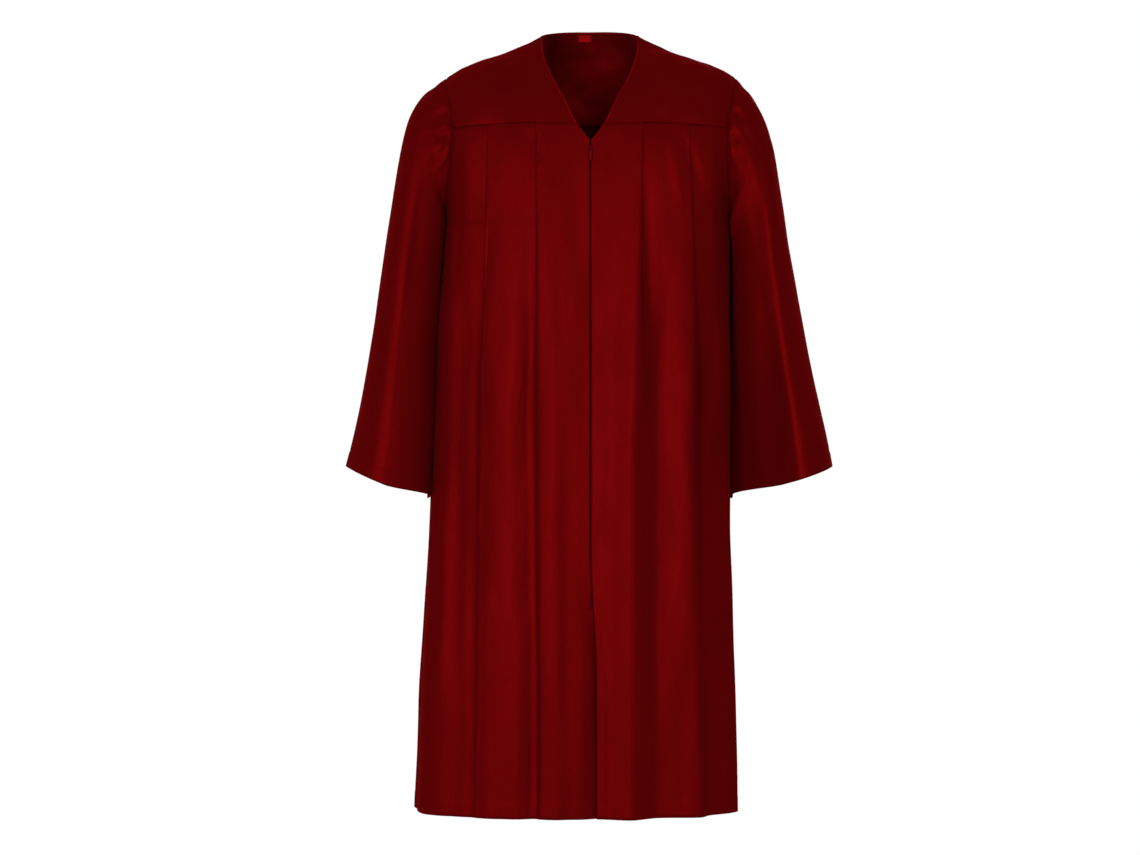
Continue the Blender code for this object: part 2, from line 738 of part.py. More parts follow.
def make_arch(plate_out, collection):
    """Half ring of wire that stands out of the slider's plate, as a mesh."""
    data = bpy.data.curves.new("arch", "CURVE")
    data.dimensions = "3D"
    data.bevel_depth = ARCH_WIRE * MM
    data.bevel_resolution = 2
    data.use_fill_caps = True
    turns = np.linspace(-math.pi / 2, math.pi / 2, 9)
    points = [(0, -plate_out + ARCH_SINK, -ARCH_RADIUS)]
    points += [(0, -plate_out - ARCH_RADIUS * math.cos(t), ARCH_RADIUS * math.sin(t)) for t in turns]
    points += [(0, -plate_out + ARCH_SINK, ARCH_RADIUS)]
    spline = data.splines.new("POLY")
    spline.points.add(len(points) - 1)
    for target, point in zip(spline.points, points):
        target.co = (*[value * MM for value in point], 1)
    curve = bpy.data.objects.new("arch", data)
    collection.objects.link(curve)
    bpy.context.view_layer.update()
    evaluated = curve.evaluated_get(bpy.context.evaluated_depsgraph_get())
    mesh = bpy.data.meshes.new_from_object(evaluated)
    bm = bmesh.new()
    bm.from_mesh(mesh)
    bmesh.ops.remove_doubles(bm, verts=bm.verts, dist=1e-6)
    bm.to_mesh(mesh)
    bm.free()
    arch = bpy.data.objects.new("arch_wire", mesh)
    arch.matrix_world = curve.matrix_world
    bpy.data.objects.remove(curve)
    collection.objects.link(arch)
    return arch


def make_slider(seat, material, collection):
    """Slider: body behind the tapes, a neck between the front edges, a plate and an arch outside."""
    body_front = WALL / 2 + 2 * LAY_GAP + TAPE_WALL
    body_back = body_front + SLIDER_BODY[1]
    plate_back = WALL / 2 + LAY_GAP
    plate_out = plate_back + PLATE[1]
    neck_depth = body_front + plate_back + NECK_SINK
    neck_middle = (body_front - plate_back) / 2
    boxes = [
        (SLIDER_BODY, (0, (body_front + body_back) / 2, 0)),
        ((NECK_WIDTH, neck_depth, NECK_HEIGHT), (0, neck_middle, 0)),
        (PLATE, (0, -(plate_back + plate_out) / 2, 0)),
    ]
    base = make_boxes("slider_base", boxes, collection)
    slider = join_bodies("zip_slider", [base, make_arch(plate_out, collection)])
    slider.data.materials.clear()
    slider.data.materials.append(material)
    slider.parent = seat
    return slider


def make_pull(pivot, material, collection):
    """Pull tab, in the frame of its pivot: x along the bar, z up."""
    tab_length = PULL_LENGTH - RAIL_LENGTH
    rail_x = PULL_WIDTH / 2 - RAIL_WIDTH / 2
    boxes = [
        ((PULL_WIDTH, PULL_WALL, PULL_WALL), (0, 0, 0)),
        ((PULL_WIDTH, PULL_WALL, tab_length), (0, 0, -RAIL_LENGTH - tab_length / 2)),
    ]
    for side in (RIGHT, LEFT):
        rail = (RAIL_WIDTH, PULL_WALL, RAIL_LENGTH + RAIL_SINK)
        boxes.append((rail, (side * rail_x, 0, -RAIL_LENGTH / 2)))
    pull = make_boxes("zip_pull", boxes, collection)
    pull.data.materials.append(material)
    pull.parent = pivot
    return pull


def make_empty(name, location, lean, collection):
    empty = bpy.data.objects.new(name, None)
    empty.location = [value * MM for value in location]
    empty.rotation_euler = (lean, 0, 0)
    collection.objects.link(empty)
    return empty


def front_lean():
    """How far the zip leans back from upright at the slider, in radians."""
    above, below = SLIDER_Z + LEAN_ABOVE, SLIDER_Z - LEAN_BELOW
    return -math.atan2(BODY.at("front", below) - BODY.at("front", above), above - below)


def main():
    for old in list(bpy.data.objects):
        bpy.data.objects.remove(old)
    collection = bpy.data.collections.new("graduation_gown")
    bpy.context.scene.collection.children.link(collection)

    for side, name in SIDE_NAMES.items():
        satin = {piece: make_material(f"{piece}_{name}_satin", CLOTH_COLOUR, CLOTH_ROUGHNESS)
                 for piece in ("front", "yoke", "sleeve")}
        tape = make_material(f"zip_tape_{name}_weave", ZIP_COLOUR, 0.7)
        make_cloth(f"front_{name}", front_grid(side), satin["front"], collection)
        make_cloth(f"front_yoke_{name}", front_yoke_grid(side), satin["yoke"], collection)
        make_cloth(f"sleeve_{name}", sleeve_grid(side), satin["sleeve"], collection, closed_round=True)
        make_cloth(f"zip_tape_{name}", tape_grid(side), tape, collection, wall=TAPE_WALL)
    for piece, grid in (("back", back_grid()), ("back_yoke", back_yoke_grid())):
        cloth = make_material(f"{piece}_satin", CLOTH_COLOUR, CLOTH_ROUGHNESS)
        make_cloth(piece, grid, cloth, collection)
    make_cloth("neck_label", label_grid(), make_material("label_weave", LABEL_COLOUR, 0.5),
               collection, wall=LABEL_WALL)

    seat_place = (0, -BODY.at("front", SLIDER_Z), SLIDER_Z)
    seat = make_empty("zip_seat", seat_place, front_lean(), collection)
    make_slider(seat, make_material("slider_enamel", METAL_COLOUR, 0.35, 0.3), collection)
    lean = Matrix.Rotation(front_lean(), 3, "X")
    pivot_place = Vector(seat_place) + lean @ Vector((0, -PIVOT_OUT, 0))
    pivot = make_empty("pull_pivot", pivot_place, front_lean(), collection)
    make_pull(pivot, make_material("pull_enamel", METAL_COLOUR, 0.35, 0.3), collection)


main()
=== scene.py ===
"""Graduation gown, as worn with nobody in it: the dressed scene.

Each cut piece of satin is a thin shell on the form of its CAD solid. Its sizes are repeated here
in millimetres, in the CAD's frame, and MM turns them into Blender's metres. Creases that the
photograph shows are placed by its frame of 1140 by 855; those on hidden sides by millimetres.
"""
import math

import bmesh
import bpy
import numpy as np
from mathutils import Matrix, Vector, noise


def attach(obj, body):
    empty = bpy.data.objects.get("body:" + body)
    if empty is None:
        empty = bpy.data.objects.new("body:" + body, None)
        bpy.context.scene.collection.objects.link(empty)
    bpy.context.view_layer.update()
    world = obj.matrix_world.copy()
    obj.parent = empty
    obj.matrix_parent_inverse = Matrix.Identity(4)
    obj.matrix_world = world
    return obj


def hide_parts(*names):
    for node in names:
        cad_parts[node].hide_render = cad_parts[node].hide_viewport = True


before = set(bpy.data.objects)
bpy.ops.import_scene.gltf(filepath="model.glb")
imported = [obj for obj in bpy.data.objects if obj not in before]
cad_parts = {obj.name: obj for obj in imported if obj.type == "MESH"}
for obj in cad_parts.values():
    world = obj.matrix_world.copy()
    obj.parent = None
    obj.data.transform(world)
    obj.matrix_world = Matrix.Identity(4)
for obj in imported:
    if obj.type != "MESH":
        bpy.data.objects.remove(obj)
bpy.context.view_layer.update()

MM = 0.001
RIGHT, LEFT = -1, 1
FRONT, BACK = -1, 1
SIDE_NAMES = {RIGHT: "right", LEFT: "left"}

# The photograph's camera, and its scale in millimetres a pixel at the gown's middle
CAMERA = (-31.0, -4000.0, -608.0)
PHOTO_SCALE = 1.557
PHOTO_MIDDLE = (570.0, 427.5)
LENS = 81.1

# Cloth
CLOTH = 0.6
SEAM_SETBACK = 0.3
YOKE_SETBACK = 0.3
RIDGE_SETBACK = 0.65
HEM_DEPTH = 24.0

# Heights
UNDERARM_Z = -300.0
HEM_Z = -1195.0
V_POINT_Z = -175.0
SPREAD_TOP_Z = -165.0
SPREAD_FOOT_Z = -385.0
ZIP_END_Z = -884.0
ZIP_GAP = 1.7
TAPE_TOP_Z = -180.0
TAPE_WIDTH = 12.0
SLIDER_Z = -186.0

# Armhole
ARMHOLE_MIDDLE_Z = -182.5
ARMHOLE_HALF_HEIGHT = 117.5
ARMHOLE_HALF_DEPTH = 76.0
SLEEVE_SETBACK = 0.7
UNDERARM_SETBACK = 1.6
NEST_GAP = 4.6
NEST_START, NEST_RUN = 96.0, 48.0
NEST_DEPTH = 58.0

CLOTH_COLOUR = (0.135, 0.0012, 0.0018)
LABEL_COLOUR = (0.36, 0.004, 0.006)
TAPE_COLOUR = (0.10, 0.0012, 0.0018)
METAL_COLOUR = (0.12, 0.002, 0.003)


class Table:
    """Rows of sizes under named columns, read smoothly at any values of the first column."""

    def __init__(self, names, *rows):
        names = names.split()
        values = np.array(rows, float)
        values = values[np.argsort(values[:, 0])]
        self.key = values[:, 0]
        self.columns = dict(zip(names, values.T))
        self.slopes = {name: np.gradient(self.columns[name], self.key) for name in names[1:]}

    def at(self, name, where):
        key, value, slope = self.key, self.columns[name], self.slopes[name]
        i = np.clip(np.searchsorted(key, where) - 1, 0, len(key) - 2)
        span = key[i + 1] - key[i]
        t = np.clip((where - key[i]) / span, 0, 1)
        start = (1 + 2 * t) * (1 - t) ** 2 * value[i] + t * (1 - t) ** 2 * span * slope[i]
        end = t * t * (3 - 2 * t) * value[i + 1] + t * t * (t - 1) * span * slope[i + 1]
        return start + end


BODY = Table(
    "z right left front back square",
    (-120, 224, 218, 108, 114, 3.0),
    (-150, 224, 218, 114, 121, 3.0),
    (-200, 226, 218, 121, 131, 3.0),
    (UNDERARM_Z, 227, 218, 128, 139, 2.8),
    (-450, 238, 217, 134, 146, 2.7),
    (-600, 243, 216.5, 140, 152, 2.7),
    (-720, 248, 216.5, 144, 156, 2.8),
    (-1000, 263, 221, 151, 163, 3.0),
    (HEM_Z, 271, 226, 155, 168, 3.0),
)
ARMHOLE = Table(
    "turn right left",
    (0, 224, 227),
    (35, 221, 223),
    (70, 212, 212),
    (90, 212, 211),
    (130, 219, 214),
    (180, 227, 218),
)
FRONT_TOP = Table(
    "x z",
    (0.0, V_POINT_Z),
    (9.5, -164.5),
    (21.5, -147),
    (40, -146.5),
    (90, -145.5),
    (150, -147),
    (212, -150),
)
V_FOOT_X = 21.5
NECK_FRONT = Table(
    "step x y z",
    (0, 74, 6, 3),
    (1, 72, -32, -30),
    (2, 60, -68, -67),
    (3, 40, -97, -107),
    (4, 21.5, -112.5, -146.5),
)
NECK_BACK = Table("x y z", (0, 71, 18), (30, 68, 18), (52, 57, 15), (67, 36, 10), (74, 6, 3))
SHOULDER = Table(
    "x y z",
    (74, 6, 3),
    (93, 6, -7),
    (140, 5, -26),
    (187, 3, -43),
    (210, 1, -55),
    (225, 0, -65),
)
SHOULDER_ROUND = 58.0
NECK_FADE = 3
BACK_TOP = Table("x z", (0, -127), (110, -128), (160, -131), (212, -136))

PLEAT_PLACE = Table(
    "z right_inner right_outer left_inner left_outer",
    (-146, 83, 156, 80, 150),
    (-415, 80, 161, 75, 157),
    (-690, 78, 166, 69, 156),
    (-1000, 75, 169, 69, 163),
    (HEM_Z, 75, 171, 69, 168),
)
PLEATS = {
    "right_inner": Table(
        "point along_top out_top along_hem out_hem",
        (0, -40, 0, -40, 4),
        (1, -16, 1.0, -24, 8),
        (2, 0, 1.1, -4, 5),
        (3, 0, 0.4, 2, 2),
        (4, -14, 0.2, 6, -3),
        (5, -14, 0, 14, -4),
        (6, 4, -0.4, 25, 0),
        (7, 20, 0, 36, 3),
    ),
    "right_outer": Table(
        "point along_top out_top along_hem out_hem",
        (0, -40, 0, -34, 4),
        (1, -16, 1.0, -18, 3),
        (2, 0, 1.1, -3, 0),
        (3, 0, 0.4, 2, -1),
        (4, -14, 0.2, 6, -4),
        (5, -14, 0, 12, -5),
        (6, 4, -0.4, 24, -4),
        (7, 20, 0, 38, -3),
    ),
    "left_inner": Table(
        "point along_top out_top along_hem out_hem",
        (0, -40, 0, -38, 3),
        (1, -16, 1.0, -22, 8),
        (2, 0, 1.1, -9, 11),
        (3, 0, 0.4, 1, 8),
        (4, -14, 0.2, 10, 3),
        (5, -14, 0, 20, -3),
        (6, 4, -0.4, 31, -8),
        (7, 20, 0, 42, -8),
    ),
    "left_outer": Table(
        "point along_top out_top along_hem out_hem",
        (0, -40, 0, -34, -4),
        (1, -16, 1.0, -18, 1),
        (2, 0, 1.1, -4, 4),
        (3, 0, 0.4, 3, 2),
        (4, -14, 0.2, 10, -3),
        (5, -14, 0, 18, -6),
        (6, 4, -0.4, 28, -6),
        (7, 20, 0, 40, -4),
    ),
}
PLEAT_RUN = 430.0
FRONT_SIDE = Table(
    "share out_hem",
    (0.18, 3),
    (0.36, 7),
    (0.54, 2),
    (0.70, -3),
    (0.85, 0),
    (1.0, 0),
)
CENTRE_VALLEY = 4.0
LAP_SHIFT = {RIGHT: 13.0, LEFT: 8.5}
LAP_RISE = {RIGHT: -6.0, LEFT: 2.5}
LAP_WIDTH = {RIGHT: 9.0, LEFT: 22.0}
FRONT_ROWS = (
    -150, -158, -170, -187, -208, -232, -256, -278, -293, UNDERARM_Z,
    -326, -375, -445, -535, -640, -760, ZIP_END_Z, -985, -1090, HEM_Z,
)
BACK_ROWS = (
    -136, -147, -162, -182, -206, -232, -256, -278, -293, UNDERARM_Z,
    -328, -385, -465, -565, -680, -800, -920, -1030, -1120, HEM_Z,
)
BACK_FOLDS = Table(
    "at width depth",
    (-0.80, 0.075, 9),
    (-0.56, 0.085, 13),
    (-0.31, 0.080, 11),
    (-0.07, 0.090, 14),
    (0.19, 0.080, 12),
    (0.43, 0.075, 14),
    (0.65, 0.080, 10),
    (0.84, 0.060, 8),
)
BACK_FOLD_TOP = -200.0
FLUTES_A_SIDE = 13
FLUTE = Table(
    "z depth",
    (-120, 1.6),
    (-147, 3.6),
    (-182, 3.2),
    (-256, 1.8),
    (-385, 0.7),
    (-565, 0.0),
    (HEM_Z, 0.0),
)
SLEEVE = Table(
    "step outer_right outer_left outer_z under_right under_left under_z half_depth gather",
    (0, 224, 227, -65, 227, 218, -300, 76, 0.8),
    (1, 240, 238, -78, 229.5, 221, -305, 80, 3.0),
    (2, 255, 248.5, -89, 232, 223, -311, 84, 3.6),
    (3, 270, 260, -107, 234.5, 225, -319, 88, 3.2),
    (4, 282, 271, -130, 237, 226.5, -329, 91, 2.4),
    (5, 290.5, 280, -160, 239.5, 227.5, -342, 94, 1.5),
    (6, 299, 289, -205, 242, 228, -360, 97, 0.7),
    (7, 308, 298, -260, 245, 228, -386, 100, 0.2),
    (8, 318, 309, -330, 248, 228, -428, 104, 0),
    (9, 329, 325, -412, 250.5, 228, -484, 109, 0),
    (10, 341, 338, -484, 252.5, 227, -548, 114, 0),
    (11, 354, 354, -562, 254.5, 226, -617, 119, 0),
    (12, 368, 369, -630, 255.5, 225, -677, 123, 0),
    (13, 377, 377, -667, 256, 224.5, -718, 126, 0),
)
SLEEVE_STEPS = 13
SLEEVE_FOLDS = {
    RIGHT: Table(
        "top cuff width depth",
        (62, 44, 24, 2),
        (232, 255, 22, -7),
        (285, 300, 20, 6),
        (318, 322, 12, -5),
        (338, 341, 11, 4),
    ),
    LEFT: Table(
        "top cuff width depth",
        (74, 66, 20, 4),
        (228, 250, 22, -7),
        (282, 302, 20, 6),
        (314, 321, 12, -5),
        (335, 340, 11, 4),
    ),
}

# The share of its depth by which a sleeve's front falls back beside the body, at places round its
# ring (90 in front, 180 beside the body), halfway down and at its cuff
FALL_BACK = {
    RIGHT: Table(
        "turn middle cuff",
        (93, 0, 0),
        (103, 0.01, 0.01),
        (111, 0.03, 0.03),
        (119, 0.06, 0.06),
        (127, 0.11, 0.11),
        (135, 0.16, 0.16),
        (144, 0.18, 0.18),
        (164, 0.08, 0.08),
        (180, 0, 0),
    ),
    LEFT: Table(
        "turn middle cuff",
        (68, 0, 0),
        (78, 0.01, 0.03),
        (90, 0.07, 0.20),
        (100, 0.11, 0.34),
        (110, 0.17, 0.52),
        (120, 0.31, 0.70),
        (130, 0.45, 0.80),
        (140, 0.50, 0.82),
        (150, 0.51, 0.78),
        (160, 0.44, 0.66),
        (170, 0.28, 0.42),
        (180, 0, 0),
    ),
}

# Gathers over a sleeve's cap: place in degrees (0 outer, 90 front), half width, height and length
CAP_GATHERS = Table(
    "at width height length",
    (-98, 5, 0.9, 0.5),
    (-86, 4, 2.0, 1.1),
    (-76, 5, 1.3, 0.5),
    (-66, 4, 2.4, 1.5),
    (-55, 5, 1.5, 0.8),
    (-46, 4, 2.3, 1.3),
    (-36, 5, 1.6, 0.6),
    (-27, 4, 1.5, 1.6),
    (-17, 5, 0.7, 0.8),
    (-6, 4, 0.9, 1.2),
    (4, 5, 0.6, 0.6),
    (13, 4, 1.0, 1.0),
    (24, 5, 1.0, 1.5),
    (33, 4, 2.3, 0.7),
    (44, 5, 1.7, 1.4),
    (53, 4, 2.5, 0.9),
    (63, 5, 1.6, 1.6),
    (72, 4, 2.3, 0.8),
    (83, 5, 1.4, 1.2),
    (93, 4, 1.8, 0.5),
)

# Creases: a path in a view, half width, height in millimetres (below 0 is a trough), and lean
FRONT_CREASES = {
    RIGHT: (
        (((533, 126), (537, 140), (541, 160)), 3.4, -2.0, 0.3),
        (((533, 180), (530, 300), (528, 400), (526, 490)), 5.5, -2.4, 0.2),
        (((500, 128), (503, 200), (506, 330)), 7.0, 1.2, 0.0),
        (((462, 130), (460, 190), (455, 280)), 6.0, -1.3, 0.2),
        (((446, 150), (452, 215), (450, 320)), 5.0, 1.6, 0.0),
        (((512, 300), (508, 430), (500, 600)), 9.0, 1.4, 0.0),
        (((452, 380), (447, 520), (443, 700)), 8.0, 1.8, 0.2),
        (((562, 180), (566, 330), (562, 520)), 8.0, 1.2, 0.0),
    ),
    LEFT: (
        (((682, 132), (691, 155), (702, 188)), 5.5, -2.6, 0.3),
        (((668, 130), (674, 160), (680, 205)), 5.0, 1.8, 0.0),
        (((712, 140), (712, 200), (716, 280)), 5.0, 1.2, 0.0),
        (((614, 170), (618, 330), (615, 520)), 9.0, 1.2, 0.0),
        (((645, 165), (648, 230), (651, 330)), 5.0, -2.2, 0.0),
        (((680, 250), (684, 420), (688, 640)), 8.0, 1.8, 0.0),
        (((722, 400), (722, 560), (724, 740)), 8.0, -2.4, 0.0),
    ),
}
SLEEVE_CREASES = {
    RIGHT: (
        (((448, 118), (440, 124), (427, 126)), 2.6, -2.0, 0.0),
        (((444, 104), (437, 107)), 2.4, -1.6, 0.0),
        (((425, 106), (421, 116), (417, 124)), 2.6, -2.2, 0.0),
        (((427, 106), (423, 118), (419, 134)), 2.8, 2.0, 0.0),
        (((447, 130), (441, 133), (435, 138)), 2.6, -1.8, 0.0),
        (((437, 150), (443, 142), (450, 143)), 3.0, 2.0, 0.0),
        (((397, 185), (388, 250), (380, 320), (362, 440)), 6.0, 1.6, 0.0),
        (((420, 180), (416, 260), (412, 330)), 7.0, -1.4, 0.0),
    ),
    LEFT: (
        (((741, 108), (733, 117)), 2.6, -2.0, 0.0),
        (((737, 116), (745, 121)), 2.4, -1.8, 0.0),
        (((741, 102), (753, 115)), 2.6, -2.0, 0.0),
        (((731, 140), (736, 146)), 3.0, -1.8, 0.0),
        (((757, 128), (760, 160), (764, 200)), 4.5, -3.0, 0.2),
        (((770, 140), (771, 180), (776, 240)), 5.0, 2.6, 0.0),
        (((752, 215), (768, 290), (790, 390), (806, 470)), 9.0, 2.0, 0.0),
    ),
}

QUARTER_STEPS = 240
YOKE_CROWN = 9.0


def smooth(t):
    t = np.clip(t, 0.0, 1.0)
    return t * t * (3 - 2 * t)


def mix(a, b, t):
    return a + (b - a) * t


def body_reach(side, y, z):
    """How far the body's outline stands to a side, at depths and heights."""
    depth = np.where(y < 0, BODY.at("front", z), BODY.at("back", z))
    square = BODY.at("square", z)
    share = np.minimum(abs(y) / depth, 1.0)
    return BODY.at(SIDE_NAMES[side], z) * (1 - share**square) ** (1 / square)


def armhole_turn(z, face):
    turn = math.degrees(math.acos(np.clip((z - ARMHOLE_MIDDLE_Z) / ARMHOLE_HALF_HEIGHT, -1, 1)))
    return turn if face == FRONT else 360 - turn


def armhole_point(side, turn):
    """Point of the armhole seam: turn is 0 on top, 90 in front, 180 under the arm, 270 behind."""
    reach = ARMHOLE.at(SIDE_NAMES[side], np.minimum(turn, 360 - turn))
    angle = np.radians(turn)
    y = -ARMHOLE_HALF_DEPTH * np.sin(angle)
    z = ARMHOLE_MIDDLE_Z + ARMHOLE_HALF_HEIGHT * np.cos(angle)
    return np.stack(np.broadcast_arrays(side * reach, y, z), -1)


class Section:
    """A quarter of the body's outline at one height, from its middle to its side or armhole."""

    def __init__(self, side, face, z):
        self.side, self.face, self.z = side, face, z
        depth = BODY.at("front" if face == FRONT else "back", z)
        square = BODY.at("square", z)
        if z > UNDERARM_Z:
            edge = armhole_point(side, armhole_turn(z, face))
            edge_y = abs(edge[1])
            width = abs(edge[0]) / (1 - (edge_y / depth) ** square) ** (1 / square)
        else:
            edge_y = 0.0
            width = BODY.at(SIDE_NAMES[side], z)
        turn = np.pi / 4 * (1 - np.cos(np.linspace(0, np.pi, QUARTER_STEPS)))
        self.x = width * np.sin(turn) ** (2 / square)
        self.y = depth * np.maximum(np.cos(turn), 0) ** (2 / square)
        self.along = np.concatenate(([0], np.cumsum(np.hypot(np.diff(self.x), np.diff(self.y)))))
        self.edge = float(np.interp(-edge_y, -self.y, self.along))

    def spread(self, start, share):
        """Distance along of a column that keeps its share from a start to the edge."""
        top = Section(self.side, self.face, FRONT_ROWS[0]).edge if self.z < FRONT_ROWS[0] else self.edge
        foot = self.along[-1]
        calm = mix(min(top, self.edge), foot, smooth((SPREAD_TOP_Z - self.z) / (SPREAD_TOP_Z - SPREAD_FOOT_Z)))
        end = mix(calm, self.edge, share**4) - SEAM_SETBACK
        return mix(start, end, share)

    def along_at_x(self, x):
        return float(np.interp(x, self.x, self.along))

    def x_at(self, along):
        return float(np.interp(along, self.along, self.x))

    def point(self, along, out=0.0):
        step = 1.0
        x, y = np.interp(along, self.along, self.x), np.interp(along, self.along, self.y)
        low, high = max(along - step, 0), min(along + step, self.along[-1])
        run_x = np.interp(high, self.along, self.x) - np.interp(low, self.along, self.x)
        run_y = np.interp(high, self.along, self.y) - np.interp(low, self.along, self.y)
        run = math.hypot(run_x, run_y)
        x, y = x - out * run_y / run, y + out * run_x / run
        return np.array((self.side * x, self.face * y, self.z))


def front_columns(side, z):
    section = Section(side, FRONT, z)
    open_share = 0.05 + 0.95 * smooth((FRONT_ROWS[0] - z) / PLEAT_RUN)
    valley = -CENTRE_VALLEY * smooth((ZIP_END_Z + 60 - z) / 160)
    half_gap = mix(ZIP_GAP / 2, SEAM_SETBACK, smooth((ZIP_END_Z + 20 - z) / 40))
    beside = 0.5 * open_share * PLEATS[f"{SIDE_NAMES[side]}_inner"].at("out_hem", 0)
    columns = [(half_gap, valley), (14, mix(valley, beside, 0.5)), (V_FOOT_X, beside)]
    for place in ("inner", "outer"):
        pleat = PLEATS[f"{SIDE_NAMES[side]}_{place}"]
        edge = section.along_at_x(PLEAT_PLACE.at(f"{SIDE_NAMES[side]}_{place}", z))
        for point in pleat.key:
            along = mix(pleat.at("along_top", point), pleat.at("along_hem", point), open_share)
            out = mix(pleat.at("out_top", point), pleat.at("out_hem", point), open_share)
            columns.append((edge + along, out))
    start = columns[-1][0]
    for share in FRONT_SIDE.key:
        columns.append((section.spread(start, share), FRONT_SIDE.at("out_hem", share) * open_share))
    return section, columns


def front_grid(side):
    """Control points of a front, row by row from its top edge to the hem."""
    column_count = len(front_columns(side, FRONT_ROWS[0])[1])
    grid = np.zeros((len(FRONT_ROWS), column_count, 3))
    for r, row_z in enumerate(FRONT_ROWS):
        fade = 1 - smooth((FRONT_ROWS[0] - row_z) / 150)
        section, columns = front_columns(side, row_z)
        for c in range(column_count):
            x = min(section.x_at(columns[c][0]), FRONT_TOP.key[-1])
            z = row_z + (FRONT_TOP.at("z", x) - FRONT_ROWS[0] - YOKE_SETBACK) * fade
            here, here_columns = front_columns(side, z)
            grid[r, c] = here.point(*here_columns[c])
    return grid


def back_grid(shares):
    """Points of the back without its flutes, at shares of its width from -1 to 1."""
    grid = np.zeros((len(BACK_ROWS), len(shares), 3))
    for r, row_z in enumerate(BACK_ROWS):
        fade = 1 - smooth((BACK_ROWS[0] - row_z) / 120)
        for c, f in enumerate(shares):
            side = RIGHT if f < 0 else LEFT
            section = Section(side, BACK, row_z)
            x = min(section.x_at(section.spread(0, abs(f))), BACK_TOP.key[-1])
            z = row_z + (BACK_TOP.at("z", x) - BACK_ROWS[0] - YOKE_SETBACK) * fade
            section = Section(side, BACK, z)
            drop = smooth((BACK_FOLD_TOP - z) / (BACK_FOLD_TOP - HEM_Z))
            soft = sum(depth * math.exp(-(((f - at) / width) ** 2))
                       for at, width, depth in zip(*BACK_FOLDS.columns.values()))
            out = (soft - 4) * drop * (1 - smooth((abs(f) - 0.88) / 0.12))
            grid[r, c] = section.point(section.spread(0, abs(f)), out)
    return grid


def sleeve_surface(side, steps, angles):
    """A sleeve's points and outward normals at steps from armhole to cuff and places on its rings."""
    name = SIDE_NAMES[side]
    step, angle = steps[:, None], angles[None, :]
    turn = np.radians(angle)
    outer_x, under_x = side * SLEEVE.at(f"outer_{name}", step), side * SLEEVE.at(f"under_{name}", step)
    outer_z, under_z = SLEEVE.at("outer_z", step), SLEEVE.at("under_z", step)
    deep = SLEEVE.at("half_depth", step)
    half_x, half_z = (outer_x - under_x) / 2, (outer_z - under_z) / 2
    x = (outer_x + under_x) / 2 + half_x * np.cos(turn)
    z = (outer_z + under_z) / 2 + half_z * np.cos(turn)
    y = -deep * np.sin(turn) * np.ones_like(x)
    fade = 1 - smooth(step / 4)
    armhole = armhole_point(side, angle % 360)
    start_x = side * mix(SLEEVE.at(f"under_{name}", 0), SLEEVE.at(f"outer_{name}", 0), (1 + np.cos(turn)) / 2)
    reach = abs((angle + 180) % 360 - 180)
    x = x + (armhole[..., 0] - start_x) * fade
    x = x + side * mix(SLEEVE_SETBACK, UNDERARM_SETBACK, smooth((reach - 85) / 35)) * fade
    size = half_x**2 + half_z**2
    normal = np.stack(np.broadcast_arrays(half_x / size * np.cos(turn), -np.sin(turn) / deep,
                                          half_z / size * np.cos(turn)), -1)
    normal /= np.linalg.norm(normal, axis=-1, keepdims=True)
    drape = smooth((step - 3) / 8)
    out = np.zeros_like(x)
    for top, cuff, width, depth in zip(*SLEEVE_FOLDS[side].columns.values()):
        centre = mix(top, cuff, step / SLEEVE_STEPS)
        away = (angle - centre + 180) % 360 - 180
        out += depth * drape * np.exp(-((away / width) ** 2))
    for at, width, height, length in zip(*CAP_GATHERS.columns.values()):
        away = (angle - at - 3 * np.sin(step * 1.7 + at) + 180) % 360 - 180
        rise = smooth(step / 0.8 + 0.25) * (1 - smooth((step - length) / 2.6))
        out += (height if side == RIGHT else 0.75 * height) * (2 * np.exp(-((away / width) ** 2)) - 0.75 * np.exp(-((away / (2.2 * width)) ** 2))) * rise
    point = np.stack((x, y, z), -1) + normal * out[..., None]
    fall = FALL_BACK[side]
    back = mix(fall.at("middle", angle), fall.at("cuff", angle), smooth((step - 8) / 4.5))
    point[..., 1] *= 1 - back * smooth((step - 2.5) / 5.5)
    nest = smooth((reach - NEST_START) / NEST_RUN) * smooth((step - 0.6) / 2.4)
    near = side * (body_reach(side, np.maximum(point[..., 1], -NEST_DEPTH), point[..., 2]) + NEST_GAP)
    point[..., 0] = mix(point[..., 0], near, nest)
    return point


def coons(top, bottom, first, last, u, v):
    ruled = mix(top(u), bottom(u), v) + mix(first(v), last(v), u)
    corners = mix(mix(top(0), top(1), u), mix(bottom(0), bottom(1), u), v)
    return ruled - corners


def front_yoke_point(side, u, v):
    seam_turn = armhole_turn(FRONT_TOP.at("z", FRONT_TOP.key[-1]), FRONT)

    def shoulder(u):
        x = mix(SHOULDER.key[0], SHOULDER.key[-1], u)
        if x > SHOULDER.key[-1] - 1e-6:
            return armhole_point(side, 0)
        return np.array((side * x, SHOULDER.at("y", x), SHOULDER.at("z", x)))

    def neck(v):
        step = 4 * v
        return np.array((side * NECK_FRONT.at("x", step), NECK_FRONT.at("y", step), NECK_FRONT.at("z", step)))

    def seam(u):
        section = Section(side, FRONT, FRONT_TOP.at("z", mix(V_FOOT_X, FRONT_TOP.key[-1], u)))
        return section.point(mix(section.along_at_x(V_FOOT_X), section.edge, u))

    def armhole(v):
        return armhole_point(side, seam_turn * v)

    crown = YOKE_CROWN * math.sin(math.pi * v) * math.sin(math.pi * min(max(u * 0.8 + 0.1, 0), 1))
    point = coons(shoulder, seam, neck, armhole, u, v)
    return point + crown * np.array((0, -0.6, 0.8)) * smooth(u / 0.15) * smooth((1 - u) / 0.15)


